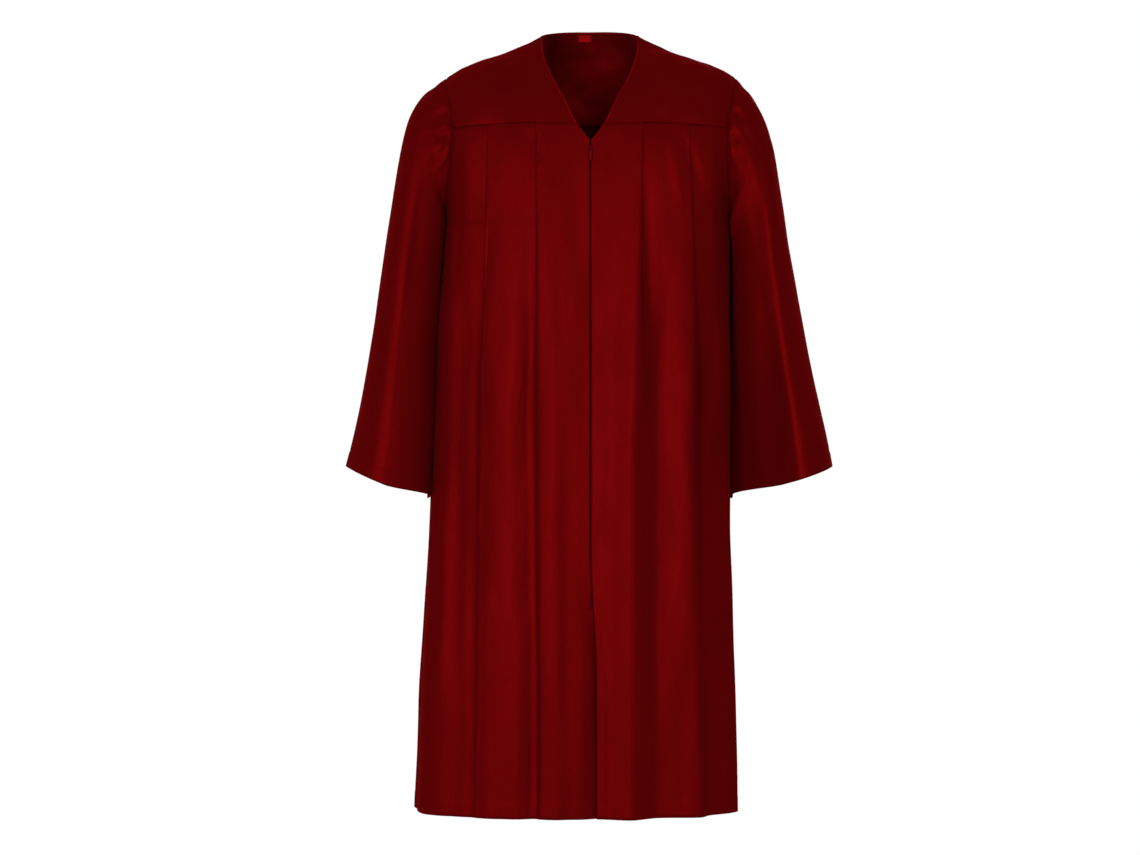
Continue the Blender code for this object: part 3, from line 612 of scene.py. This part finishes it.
def front_yoke_grid(side, columns=9, rows=8):
    grid = np.array([[front_yoke_point(side, u, v) for u in np.linspace(0, 1, columns)]
                     for v in np.linspace(0, 1, rows)])
    grid[0, :, 1] -= RIDGE_SETBACK
    grid[-1, :, 2] += YOKE_SETBACK
    return grid


def back_yoke_point(u, v):
    seam_turn = armhole_turn(BACK_TOP.at("z", BACK_TOP.key[-1]), BACK)
    reach = SHOULDER.key[-1]

    def top(u):
        x = mix(-reach, reach, u)
        side = RIGHT if x < 0 else LEFT
        if abs(x) > reach - 1e-6:
            return armhole_point(side, 0)
        table = SHOULDER if abs(x) > SHOULDER.key[0] else NECK_BACK
        return np.array((x, table.at("y", abs(x)), table.at("z", abs(x))))

    def seam(u):
        side = RIGHT if u < 0.5 else LEFT
        share = abs(u - 0.5) * 2
        section = Section(side, BACK, BACK_TOP.at("z", share * BACK_TOP.key[-1]))
        return section.point(share * section.edge)

    def right_armhole(v):
        return armhole_point(RIGHT, mix(360, seam_turn, v))

    def left_armhole(v):
        return armhole_point(LEFT, mix(360, seam_turn, v))

    def full_top(u):
        point = top(u)
        point[1] = SHOULDER_ROUND * (1 - (2 * u - 1) ** 2)
        return point

    point = coons(full_top, seam, right_armhole, left_armhole, u, v)
    return point + (top(u) - full_top(u)) * (1 - v) ** NECK_FADE


def back_yoke_grid(rows=8):
    reach = SHOULDER.key[-1]
    half = (0, 26, 52, 67, 74, 100, 140, 180, 207, reach)
    places = [-x for x in reversed(half[1:])] + list(half)
    grid = np.array([[back_yoke_point(0.5 + x / reach / 2, v) for x in places] for v in np.linspace(0, 1, rows)])
    for c, x in enumerate(places):
        if abs(x) >= SHOULDER.key[0]:
            grid[0, c, 1] += RIDGE_SETBACK
    grid[-1, :, 2] += YOKE_SETBACK
    return grid


def refine(points, counts, closed=False):
    """Curves through rows of points, with a count of steps for each interval."""
    if closed:
        points = np.concatenate((points[-1:], points, points[:2]))
    run = np.diff(points, axis=0)
    chord = np.linalg.norm(run, axis=-1, keepdims=True) ** 0.5 + 1e-6
    slope = run / chord
    tangent = np.empty_like(points)
    tangent[1:-1] = (slope[:-1] * chord[1:] + slope[1:] * chord[:-1]) / (chord[1:] + chord[:-1])
    tangent[0] = 1.5 * slope[0] - 0.5 * tangent[1]
    tangent[-1] = 1.5 * slope[-1] - 0.5 * tangent[-2]
    rows = []
    first = 1 if closed else 0
    for i, count in enumerate(counts):
        i += first
        for k in range(count):
            t = k / count
            rows.append((1 + 2 * t) * (1 - t) ** 2 * points[i] + t * (1 - t) ** 2 * chord[i] * tangent[i]
                        + t * t * (3 - 2 * t) * points[i + 1] + t * t * (t - 1) * chord[i] * tangent[i + 1])
    if not closed:
        rows.append(points[-1])
    return np.array(rows)


def counts_for(grid, size, least=1):
    """Steps for each interval down a grid, so that none is much longer than a size."""
    lengths = np.linalg.norm(np.diff(grid, axis=0), axis=-1).mean(axis=1)
    return [max(least, int(math.ceil(length / size))) for length in lengths]


def refined(grid, across, down, least=1):
    turned = grid.transpose(1, 0, 2)
    grid = refine(turned, counts_for(turned, across, least)).transpose(1, 0, 2)
    return refine(grid, counts_for(grid, down))


def grid_normals(grid, closed=False):
    """Unit normals of a grid of points, to the right of going down when seen along a row."""
    down = np.gradient(grid, axis=0)
    if closed:
        across = np.roll(grid, -1, 1) - np.roll(grid, 1, 1)
    else:
        across = np.gradient(grid, axis=1)
    normal = np.cross(across, down)
    return normal / (np.linalg.norm(normal, axis=-1, keepdims=True) + 1e-12)


def outward_normals(grid, closed=False):
    normal = grid_normals(grid, closed)
    middle = grid.mean(axis=1, keepdims=True) if closed else np.array((0, 0, -600.0))
    flat = np.array((1, 1, 0.4))
    return normal * np.sign(((grid - middle) * flat * normal).sum(axis=-1).mean())


def lengths_down(grid):
    """Distance of each point from the top edge, down its column."""
    steps = np.linalg.norm(np.diff(grid, axis=0), axis=-1)
    return np.concatenate((np.zeros((1, grid.shape[1])), np.cumsum(steps, axis=0)))


def lengths_across(grid):
    return lengths_down(grid.transpose(1, 0, 2)).T


def seen(points):
    """Where points show in the photograph's frame, from its camera."""
    scale = -CAMERA[1] / PHOTO_SCALE / (points[..., 1] - CAMERA[1])
    return np.stack((PHOTO_MIDDLE[0] + (points[..., 0] - CAMERA[0]) * scale,
                     PHOTO_MIDDLE[1] - (points[..., 2] - CAMERA[2]) * scale), -1)


def crease(where, path, width, depth, lean=0.0):
    """Height of one soft ridge or trough along a path in a view, dying out at both ends."""
    path = np.array(path, float)
    best = np.full(where.shape[:-1], 1e9)
    along = np.zeros(where.shape[:-1])
    turned = np.zeros(where.shape[:-1])
    start = 0.0
    for a, b in zip(path[:-1], path[1:]):
        run = b - a
        span = float(np.hypot(*run))
        t = np.clip(((where - a) @ run) / span**2, 0, 1)
        away = where - (a + t[..., None] * run)
        distance = np.hypot(away[..., 0], away[..., 1])
        closer = distance < best
        best = np.where(closer, distance, best)
        along = np.where(closer, start + t * span, along)
        turned = np.where(closer, np.sign(run[0] * away[..., 1] - run[1] * away[..., 0]), turned)
        start += span
    share = np.clip(along / start, 0, 1)
    taper = np.sin(np.pi * share) ** 0.6
    return depth * np.exp(-((best / (width * (1 + lean * turned))) ** 2)) * taper


def creases(where, table):
    return sum(crease(where, *row) for row in table)


def ripple(grid, size, seed, height):
    """Gentle uneven relief, from noise of a size along each axis."""
    scaled = (grid / np.array(size, float) + np.array((seed * 7.3, seed * 3.1, seed * 5.7))).reshape(-1, 3)
    values = np.array([noise.noise(Vector(point)) for point in scaled])
    return values.reshape(grid.shape[:2]) * height


def roll(distance, depth=1.3, width=2.4):
    """How far a seamed edge turns in."""
    return -depth * np.exp(-((distance / width) ** 2))


def puckers(distance, along, seed, height=0.9, pitch=15.0, reach=14.0):
    """Short ridges that run out from a seam."""
    wave = np.sin(2 * np.pi * along / pitch + 1.9 * np.sin(along / 31.0 + seed) + seed)
    size = 0.6 + 0.4 * np.sin(along / 23.0 + 2 * seed)
    return height * size * wave * np.exp(-((distance / reach) ** 2)) * smooth(distance / 3)


def with_allowance(grid, reach=6.0, share=1.0):
    """A panel with its seam allowance above its top edge, tucked behind the piece that it joins."""
    up = unit(grid[0] - grid[1])
    inward = -unit(grid[0] * np.array((0.26, 1.0, 0.0)))
    rows = [grid[0] + up * reach * part * share + inward * behind * share
            for part, behind in ((1.0, 4.5), (0.3, 3.0))]
    return np.concatenate((rows, grid))


def with_sides(grid):
    """The back with its side seams' allowances, tucked behind the fronts below the underarms."""
    low = np.maximum(smooth((UNDERARM_Z - grid[:, 0, 2]) / 30), 0.06)[:, None]
    right, left = ([grid[:, column] + low * np.array((-side * tuck, -ahead, 0))
                    for tuck, ahead in ((1.0, 0.5), (1.9, 5.0))] for side, column in ((RIGHT, 0), (LEFT, -1)))
    return np.concatenate((np.stack(right[::-1], 1), grid, np.stack(left, 1)), axis=1)


def hem_line(distance, width=1.6):
    """Shallow groove of the stitched hem line."""
    return -0.45 * np.exp(-(((distance - HEM_DEPTH) / width) ** 2)) + 0.35 * (1 - smooth((distance - 20) / 6))


def make_mesh(name, grid, material, closed=False, wall=CLOTH, body="gown", node=None):
    """A thin cloth shell through a grid of points, with its coordinates in metres for the weave."""
    rows, columns = grid.shape[:2]
    index = np.arange(rows * columns).reshape(rows, columns)
    if closed:
        index = np.concatenate((index, index[:, :1]), axis=1)
        wide = np.concatenate((grid, grid[:, :1]), axis=1)
    else:
        wide = grid
    faces = np.stack((index[:-1, :-1], index[:-1, 1:], index[1:, 1:], index[1:, :-1]), -1).reshape(-1, 4)
    mesh = bpy.data.meshes.new(name)
    mesh.from_pydata((grid.reshape(-1, 3) * MM).tolist(), [], faces.tolist())
    u, v = lengths_across(wide) * MM, lengths_down(wide) * MM
    place = np.stack((u, v), -1)
    loops = np.stack((place[:-1, :-1], place[:-1, 1:], place[1:, 1:], place[1:, :-1]), 2).reshape(-1)
    mesh.uv_layers.new(name="weave").data.foreach_set("uv", loops.astype(np.float32))
    mesh.shade_smooth()
    mesh.materials.append(material)
    piece = bpy.data.objects.new(name, mesh)
    bpy.context.scene.collection.objects.link(piece)
    thicken = piece.modifiers.new("wall", "SOLIDIFY")
    thicken.thickness = wall * MM
    thicken.offset = 0
    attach(piece, body)
    if node:
        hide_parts(node)
    return piece


def make_bead(name, path, side_way, out_way, width, thick, material):
    """A rolled edge: an oval tube along a path, with its two ways across given at each point."""
    turns = np.linspace(0, 2 * np.pi, 9)[:-1]
    grid = np.stack([path + side_way * math.cos(t) * width / 2 + out_way * math.sin(t) * thick / 2 for t in turns], 1)
    bm = bmesh.new()
    verts = [[bm.verts.new(point * MM) for point in row] for row in grid]
    for r in range(len(grid) - 1):
        for c in range(len(turns)):
            d = (c + 1) % len(turns)
            bm.faces.new((verts[r][c], verts[r][d], verts[r + 1][d], verts[r + 1][c]))
    bm.faces.new(verts[0])
    bm.faces.new(verts[-1][::-1])
    bmesh.ops.recalc_face_normals(bm, faces=bm.faces)
    mesh = bpy.data.meshes.new(name)
    bm.to_mesh(mesh)
    bm.free()
    mesh.shade_smooth()
    mesh.materials.append(material)
    piece = bpy.data.objects.new(name, mesh)
    bpy.context.scene.collection.objects.link(piece)
    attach(piece, "gown")
    return piece


def unit(ways):
    return ways / np.linalg.norm(ways, axis=-1, keepdims=True)


def patch(grid, normals, rows, columns, out):
    """Points on a fine grid at fractional rows and columns, moved along its normals."""
    rows, columns = np.meshgrid(rows, columns, indexing="ij")
    r = np.clip(rows.astype(int), 0, len(grid) - 2)
    c = np.clip(columns.astype(int), 0, grid.shape[1] - 2)
    s, t = (rows - r)[..., None], (columns - c)[..., None]

    def read(values):
        top = mix(values[r, c], values[r, c + 1], t)
        foot = mix(values[r + 1, c], values[r + 1, c + 1], t)
        return mix(top, foot, s)

    return read(grid) + unit(read(normals)) * out


def new_node(tree, kind, inputs=None, **settings):
    node = tree.nodes.new(kind)
    for key, value in settings.items():
        setattr(node, key, value)
    for key, value in (inputs or {}).items():
        node.inputs[key].default_value = value
    return node


def cloth_material(name, colour, roughness=0.42, metallic=0.4, weave_mm=0.45, weave=0.25, crinkle=0.5):
    """Cloth: uneven dye, fine crinkles, and threads that follow the piece's own coordinates."""
    material = bpy.data.materials.new(name)
    material.use_nodes = True
    tree = material.node_tree
    shader = tree.nodes["Principled BSDF"]
    link = tree.links.new
    shader.inputs["Metallic"].default_value = metallic
    shader.inputs["Specular IOR Level"].default_value = 0.0
    shader.inputs["Specular Tint"].default_value = (1.0, 0.08, 0.09, 1)
    shader.inputs["Sheen Weight"].default_value = 0.12
    shader.inputs["Sheen Roughness"].default_value = 0.45
    shader.inputs["Sheen Tint"].default_value = (0.9, 0.03, 0.04, 1)

    place = new_node(tree, "ShaderNodeTexCoord")
    tall = new_node(tree, "ShaderNodeMapping", {"Scale": (1.0, 1.0, 0.35)})
    link(place.outputs["Object"], tall.inputs["Vector"])
    dye = new_node(tree, "ShaderNodeTexNoise", {"Scale": 14.0, "Detail": 3.0, "Roughness": 0.55})
    link(tall.outputs["Vector"], dye.inputs["Vector"])
    tint = new_node(tree, "ShaderNodeMix", data_type="RGBA")
    tint.inputs["A"].default_value = (*[value * 0.86 for value in colour], 1)
    tint.inputs["B"].default_value = (*[value * 1.14 for value in colour], 1)
    link(dye.outputs["Fac"], tint.inputs["Factor"])
    link(tint.outputs["Result"], shader.inputs["Base Color"])

    gloss = new_node(tree, "ShaderNodeTexNoise", {"Scale": 40.0, "Detail": 3.0})
    link(tall.outputs["Vector"], gloss.inputs["Vector"])
    level = new_node(tree, "ShaderNodeMapRange", {"To Min": roughness - 0.06, "To Max": roughness + 0.08})
    link(gloss.outputs["Fac"], level.inputs["Value"])
    link(level.outputs["Result"], shader.inputs["Roughness"])

    crinkles = new_node(tree, "ShaderNodeTexNoise", {"Scale": 70.0, "Detail": 4.0, "Roughness": 0.6, "Distortion": 0.4})
    link(tall.outputs["Vector"], crinkles.inputs["Vector"])
    soft = new_node(tree, "ShaderNodeBump", {"Strength": crinkle, "Distance": 0.0016})
    link(crinkles.outputs["Fac"], soft.inputs["Height"])
    threads = new_node(tree, "ShaderNodeMapping", {"Scale": (1 / (weave_mm * MM), 1 / (weave_mm * MM) / 2.2, 1.0)})
    link(place.outputs["UV"], threads.inputs["Vector"])
    warp = new_node(tree, "ShaderNodeTexWave", {"Scale": 0.3142}, wave_type="BANDS", bands_direction="X")
    weft = new_node(tree, "ShaderNodeTexWave", {"Scale": 0.3142}, wave_type="BANDS", bands_direction="Y")
    link(threads.outputs["Vector"], warp.inputs["Vector"])
    link(threads.outputs["Vector"], weft.inputs["Vector"])
    both = new_node(tree, "ShaderNodeMath", operation="MULTIPLY_ADD")
    both.inputs[1].default_value = 0.35
    link(weft.outputs["Fac"], both.inputs[0])
    link(warp.outputs["Fac"], both.inputs[2])
    fine = new_node(tree, "ShaderNodeBump", {"Strength": weave, "Distance": 0.00012})
    link(both.outputs["Value"], fine.inputs["Height"])
    link(soft.outputs["Normal"], fine.inputs["Normal"])
    link(fine.outputs["Normal"], shader.inputs["Normal"])
    return material


def enamel_material(name, colour):
    """Painted metal: smooth coat with faint grain."""
    material = bpy.data.materials.new(name)
    material.use_nodes = True
    tree = material.node_tree
    shader = tree.nodes["Principled BSDF"]
    link = tree.links.new
    shader.inputs["Metallic"].default_value = 0.45
    shader.inputs["Specular IOR Level"].default_value = 0.1
    shader.inputs["Specular Tint"].default_value = (1.0, 0.2, 0.2, 1)
    place = new_node(tree, "ShaderNodeTexCoord")
    grain = new_node(tree, "ShaderNodeTexNoise", {"Scale": 900.0, "Detail": 3.0})
    link(place.outputs["Object"], grain.inputs["Vector"])
    tint = new_node(tree, "ShaderNodeMix", data_type="RGBA")
    tint.inputs["A"].default_value = (*[value * 0.8 for value in colour], 1)
    tint.inputs["B"].default_value = (*[value * 1.3 for value in colour], 1)
    link(grain.outputs["Fac"], tint.inputs["Factor"])
    link(tint.outputs["Result"], shader.inputs["Base Color"])
    level = new_node(tree, "ShaderNodeMapRange", {"To Min": 0.28, "To Max": 0.42})
    link(grain.outputs["Fac"], level.inputs["Value"])
    link(level.outputs["Result"], shader.inputs["Roughness"])
    bump = new_node(tree, "ShaderNodeBump", {"Strength": 0.15, "Distance": 0.0001})
    link(grain.outputs["Fac"], bump.inputs["Height"])
    link(bump.outputs["Normal"], shader.inputs["Normal"])
    return material


SATIN = cloth_material("satin", CLOTH_COLOUR)
# The turned edges' satin is the cloth colour painted 1.7 times lighter: a painted highlight along the rolled neckline
# edges.
LIT_EDGE_SATIN = cloth_material("satin_turned_edge_painted_highlight", [value * 1.7 for value in CLOTH_COLOUR], roughness=0.38)
TAPE = cloth_material("zip_tape_weave", TAPE_COLOUR, roughness=0.7, metallic=0.0, weave_mm=0.7, weave=0.6)
LABEL = cloth_material("label_weave", LABEL_COLOUR, roughness=0.45, metallic=0.1, weave_mm=0.35, weave=0.4, crinkle=0.1)
ENAMEL = enamel_material("zip_enamel", METAL_COLOUR)


def make_front(side):
    grid = refined(front_grid(side), 3.6, 5.4, least=2)
    normals = outward_normals(grid)
    top, foot = lengths_down(grid), lengths_down(grid)
    foot = foot[-1:] - foot
    edge = lengths_across(grid)
    edge = edge[:, -1:] - edge
    seamed = smooth((abs(grid[..., 0]) - V_FOOT_X + 2) / 6)
    out = creases(seen(grid), FRONT_CREASES[side])
    out += ripple(grid, (26, 60, 110), side + 2, 1.5) + ripple(grid, (60, 90, 240), side + 5, 2.2)
    out *= smooth(top / 30) * smooth(edge / 12)
    out += roll(top) * seamed + roll(edge, 1.0)
    out += puckers(edge, top, side + 3) * smooth((grid[..., 2] - UNDERARM_Z + 60) / 60)
    out += hem_line(foot)
    grid = grid + normals * out[..., None]

    # Below the zip the wearer's left front lies over the right one, whose edge turns in
    open_here = smooth((ZIP_END_Z + 90 - grid[..., 2]) / 190)
    near = open_here * (1 - smooth(abs(grid[..., 0]) / 42))
    lap = lengths_across(grid)
    grid[..., 0] += LAP_SHIFT[side] * near
    grid[..., 1] -= LAP_RISE[side] * open_here * np.exp(-((lap / LAP_WIDTH[side]) ** 2))
    share = np.maximum(seamed[0], 0.12)[:, None]
    return with_allowance(grid, share=share)


def make_back():
    shares = np.linspace(-1, 1, 177)
    grid = back_grid(shares)
    grid = refine(grid, counts_for(grid, 5.6))
    normals = outward_normals(grid)
    top = lengths_down(grid)
    foot = top[-1:] - top
    across = lengths_across(grid)
    edge = np.minimum(across, across[:, -1:] - across)
    f = shares[None, :] * np.ones((len(grid), 1))
    count = f * FLUTES_A_SIDE + 0.22 * np.sin(f * 17) + 0.1 * np.sin(f * 41 + 1)
    uneven = 0.78 + 0.3 * np.sin(count * 2.4 + 1) * np.sin(count * 0.9)
    depth = FLUTE.at("depth", grid[..., 2]) * (0.85 + 0.3 * np.sin(count * 1.7))
    out = depth * uneven * np.cos(2 * np.pi * count) * (1 - smooth((abs(f) - 0.9) / 0.1))
    relief = ripple(grid, (24, 60, 120), 11, 1.6) + ripple(grid, (60, 90, 260), 12, 2.4)
    out += relief * smooth(top / 40) * smooth(edge / 12)
    out += roll(top) + roll(edge, 1.0)
    out += puckers(edge, top, 4.0) * smooth((grid[..., 2] - UNDERARM_Z + 60) / 60)
    out += hem_line(foot)
    return with_sides(with_allowance(grid + normals * out[..., None]))


def make_sleeve(side):
    steps = np.concatenate((np.linspace(0, 4, 33)[:-1], np.linspace(4, SLEEVE_STEPS, 91)))
    angles = np.linspace(0, 360, 169)[:-1]
    grid = sleeve_surface(side, steps, angles)
    normals = outward_normals(grid, closed=True)
    top = lengths_down(grid)
    foot = top[-1:] - top
    facing = smooth((0.15 - normals[..., 1]) / 0.4)
    out = creases(seen(grid), SLEEVE_CREASES[side]) * facing
    out += ripple(grid, (30, 40, 90), side + 21, 1.0) + ripple(grid, (70, 80, 200), side + 25, 1.8)
    out *= smooth(top / 25)
    out += roll(top, 1.0, 2.0)
    seam = abs((angles - 180 + 180) % 360 - 180)[None, :] * 1.8
    out += roll(seam, 0.9, 2.2)
    out += hem_line(foot)
    grid = grid + normals * out[..., None]
    inward = unit(grid[:1].mean(axis=1, keepdims=True) - grid[:1]) * np.array((0, 1, 1))
    near = grid[:1] + inward * 1.0 - np.array((side * 2.0, 0, 0))
    far = grid[:1] + inward * 1.6 - np.array((side * 5.0, 0, 0))
    return np.concatenate((far, near, grid))


def make_yoke(grid, seed, ridge, neck_first):
    grid = refined(grid, 3.4, 3.6, least=3)
    normals = outward_normals(grid)
    top = lengths_down(grid)
    foot = top[-1:] - top
    across = lengths_across(grid)
    edge = across[:, -1:] - across if neck_first else np.minimum(across, across[:, -1:] - across)
    out = (ripple(grid, (22, 22, 22), seed, 0.9) + ripple(grid, (48, 48, 48), seed + 3, 1.8))
    out *= smooth(edge / 10) * smooth(foot / 8)
    out += puckers(edge, top, seed, 0.8)
    out += roll(edge, 1.0)
    out += roll(top, 0.8) * ridge(grid)
    grid = grid + normals * out[..., None]
    above = mix(grid[-1:], grid[-2:-1], 0.15)
    tuck = 2.2 if neck_first else 4.8
    turned_in = grid[-1:] - normals[-1:] * tuck + np.array((0, 0, 0.3))
    return np.concatenate((grid[:-1], above, grid[-1:], turned_in))


front = {side: make_front(side) for side in SIDE_NAMES}
back = make_back()
sleeve = {side: make_sleeve(side) for side in SIDE_NAMES}
front_yoke = {side: make_yoke(front_yoke_grid(side), side + 31, lambda g: 1.0, True) for side in SIDE_NAMES}
back_yoke = make_yoke(back_yoke_grid(), 41, lambda g: smooth((abs(g[..., 0]) - 72) / 6), False)

for side, name in SIDE_NAMES.items():
    make_mesh(f"front_{name}_cloth", front[side], SATIN, node=f"front_{name}")
    make_mesh(f"front_yoke_{name}_cloth", front_yoke[side], SATIN,
                                             node=f"front_yoke_{name}")
    make_mesh(f"sleeve_{name}_cloth", sleeve[side], SATIN, closed=True,
                                         node=f"sleeve_{name}")
make_mesh("back_cloth", back, SATIN, node="back")
make_mesh("back_yoke_cloth", back_yoke, SATIN, node="back_yoke")


def edge_bead(name, points, inward, normals, width=3.0, thick=2.4):
    """The turned edge along a border of a panel, in a lighter copy of the satin: a painted highlight on the rolled
    edge.
    """
    inward = unit(inward)
    return make_bead(name, points + inward * (width / 2 - 0.4), inward, normals, width, thick, LIT_EDGE_SATIN)


for side, name in SIDE_NAMES.items():
    grid = front_yoke[side]
    edge_bead(f"neck_edge_{name}", grid[:-1, 0], grid[:-1, 3] - grid[:-1, 0],
                                            outward_normals(grid)[:-1, 0])
    grid = front[side]
    last = int(np.argmax(abs(grid[2, :, 0]) > V_FOOT_X - 0.5))
    edge_bead(f"neck_foot_{name}", grid[2, : last + 1], grid[3, : last + 1] - grid[2, : last + 1],
                                       outward_normals(grid)[2, : last + 1])
grid = back_yoke
inside = np.nonzero(abs(grid[0, :, 0]) <= SHOULDER.key[0] - 0.5)[0]
edge_bead("neck_edge_back", grid[0, inside], grid[2, inside] - grid[0, inside],
                               outward_normals(grid)[0, inside])

# Zip tapes behind the front edges, and the coil between them
INWARD = 1.5
for side, name in SIDE_NAMES.items():
    grid = front[side]
    normals = outward_normals(grid)
    heights = grid[:, 0, 2]
    first = float(np.interp(-TAPE_TOP_Z, -heights, range(len(heights))))
    last = float(np.interp(-ZIP_END_Z, -heights, range(len(heights))))
    width = float(np.interp(TAPE_WIDTH, abs(grid[len(grid) // 3, :, 0]), range(grid.shape[1])))
    strip = patch(grid, normals, np.linspace(first, last, 130), np.linspace(0, width, 5), -INWARD)
    make_mesh(f"zip_tape_{name}_cloth", strip, TAPE, wall=0.6, node=f"zip_tape_{name}")


def make_coil():
    """The zip's small coil, closed: one loop of filament a pitch, from each tape in turn."""
    pitch, wire = 1.2, 0.42
    bm = bmesh.new()
    z, side = SLIDER_Z - 6.0, RIGHT
    while z > ZIP_END_Z + 3:
        y = -BODY.at("front", z) + INWARD + 0.9
        turns = np.linspace(0, 2 * np.pi, 7)[:-1]
        rings = []
        for x, drop in ((-0.6, 0.0), (0.9, -0.1), (2.2, -0.35)):
            size = wire * (1.15 if x < 0 else 1.0)
            rings.append([bm.verts.new(((-side) * -x * MM, (y + size * math.cos(t)) * MM, (z + drop + size * math.sin(t)) * MM))
                          for t in turns])
        for a, b in zip(rings[:-1], rings[1:]):
            for k in range(len(turns)):
                bm.faces.new((a[k], a[(k + 1) % 6], b[(k + 1) % 6], b[k]))
        bm.faces.new(rings[0])
        bm.faces.new(rings[-1][::-1])
        z -= pitch / 2
        side = -side
    bmesh.ops.recalc_face_normals(bm, faces=bm.faces)
    mesh = bpy.data.meshes.new("zip_coil")
    bm.to_mesh(mesh)
    bm.free()
    mesh.shade_smooth()
    mesh.materials.append(TAPE)
    coil = bpy.data.objects.new("zip_coil", mesh)
    bpy.context.scene.collection.objects.link(coil)
    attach(coil, "gown")
    return coil


COIL = make_coil()

# Blank label inside the back neck
grid, normals = back_yoke, outward_normals(back_yoke)
row = 4
columns = [float(np.interp(x, grid[row, :, 0], range(grid.shape[1]))) for x in np.linspace(-18, 2, 15)]
drop = lengths_down(grid)[:, grid.shape[1] // 2]
rows = [float(np.interp(d, drop, range(len(drop)))) for d in np.linspace(4, 15, 12)]
bow = -1.5 - 2.2 * np.linspace(0, 1, len(rows))[:, None, None] ** 2
NECK_LABEL = make_mesh("neck_label_cloth", patch(grid, normals, rows, columns, bow), LABEL, wall=0.5,
                       node="neck_label")

for node in ("zip_slider", "zip_pull"):
    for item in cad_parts[node].material_slots:
        item.material = ENAMEL


def add_floor():
    """A plain pale floor at standing height, well below the hem."""
    bm = bmesh.new()
    bmesh.ops.create_circle(bm, cap_ends=True, segments=64, radius=1.05, matrix=Matrix.Translation((0, 0, -1.47)))
    mesh = bpy.data.meshes.new("floor")
    bm.to_mesh(mesh)
    bm.free()
    material = bpy.data.materials.new("floor_white")
    material.use_nodes = True
    material.node_tree.nodes["Principled BSDF"].inputs["Base Color"].default_value = (0.85, 0.85, 0.85, 1)
    material.node_tree.nodes["Principled BSDF"].inputs["Roughness"].default_value = 0.8
    mesh.materials.append(material)
    floor = bpy.data.objects.new("floor", mesh)
    bpy.context.scene.collection.objects.link(floor)


def add_light(name, place, aim, size, watts):
    data = bpy.data.lights.new(name, "AREA")
    data.energy = watts
    data.shape = "DISK"
    data.size = size
    light = bpy.data.objects.new(name, data)
    light.location = place
    light.rotation_euler = (Vector(aim) - Vector(place)).to_track_quat("-Z", "Y").to_euler()
    bpy.context.scene.collection.objects.link(light)


def add_studio():
    world = bpy.data.worlds.new("studio")
    bpy.context.scene.world = world
    world.use_nodes = True
    tree = world.node_tree
    background = tree.nodes["Background"]
    rays = new_node(tree, "ShaderNodeLightPath")
    strength = new_node(tree, "ShaderNodeMapRange", {"To Min": 0.40, "To Max": 1.0})
    tree.links.new(rays.outputs["Is Camera Ray"], strength.inputs["Value"])
    background.inputs["Color"].default_value = (1, 1, 1, 1)
    tree.links.new(strength.outputs["Result"], background.inputs["Strength"])
    add_light("key", (-1.9, -4.2, -0.45), (0, 0, -0.6), 2.0, 61)
    add_light("front", (0.7, -4.2, -0.2), (0, 0, -0.5), 1.4, 33)
    add_light("behind", (0.4, 3.4, 0.3), (0, 0, -0.6), 1.6, 22)
    data = bpy.data.cameras.new("camera")
    data.lens = LENS
    data.sensor_width = 36
    data.clip_end = 50
    camera = bpy.data.objects.new("camera", data)
    camera.location = [value * MM for value in CAMERA]
    camera.rotation_euler = (math.pi / 2, 0, 0)
    bpy.context.scene.collection.objects.link(camera)
    bpy.context.scene.camera = camera
    bpy.context.scene.view_settings.view_transform = "Standard"


add_floor()
add_studio()
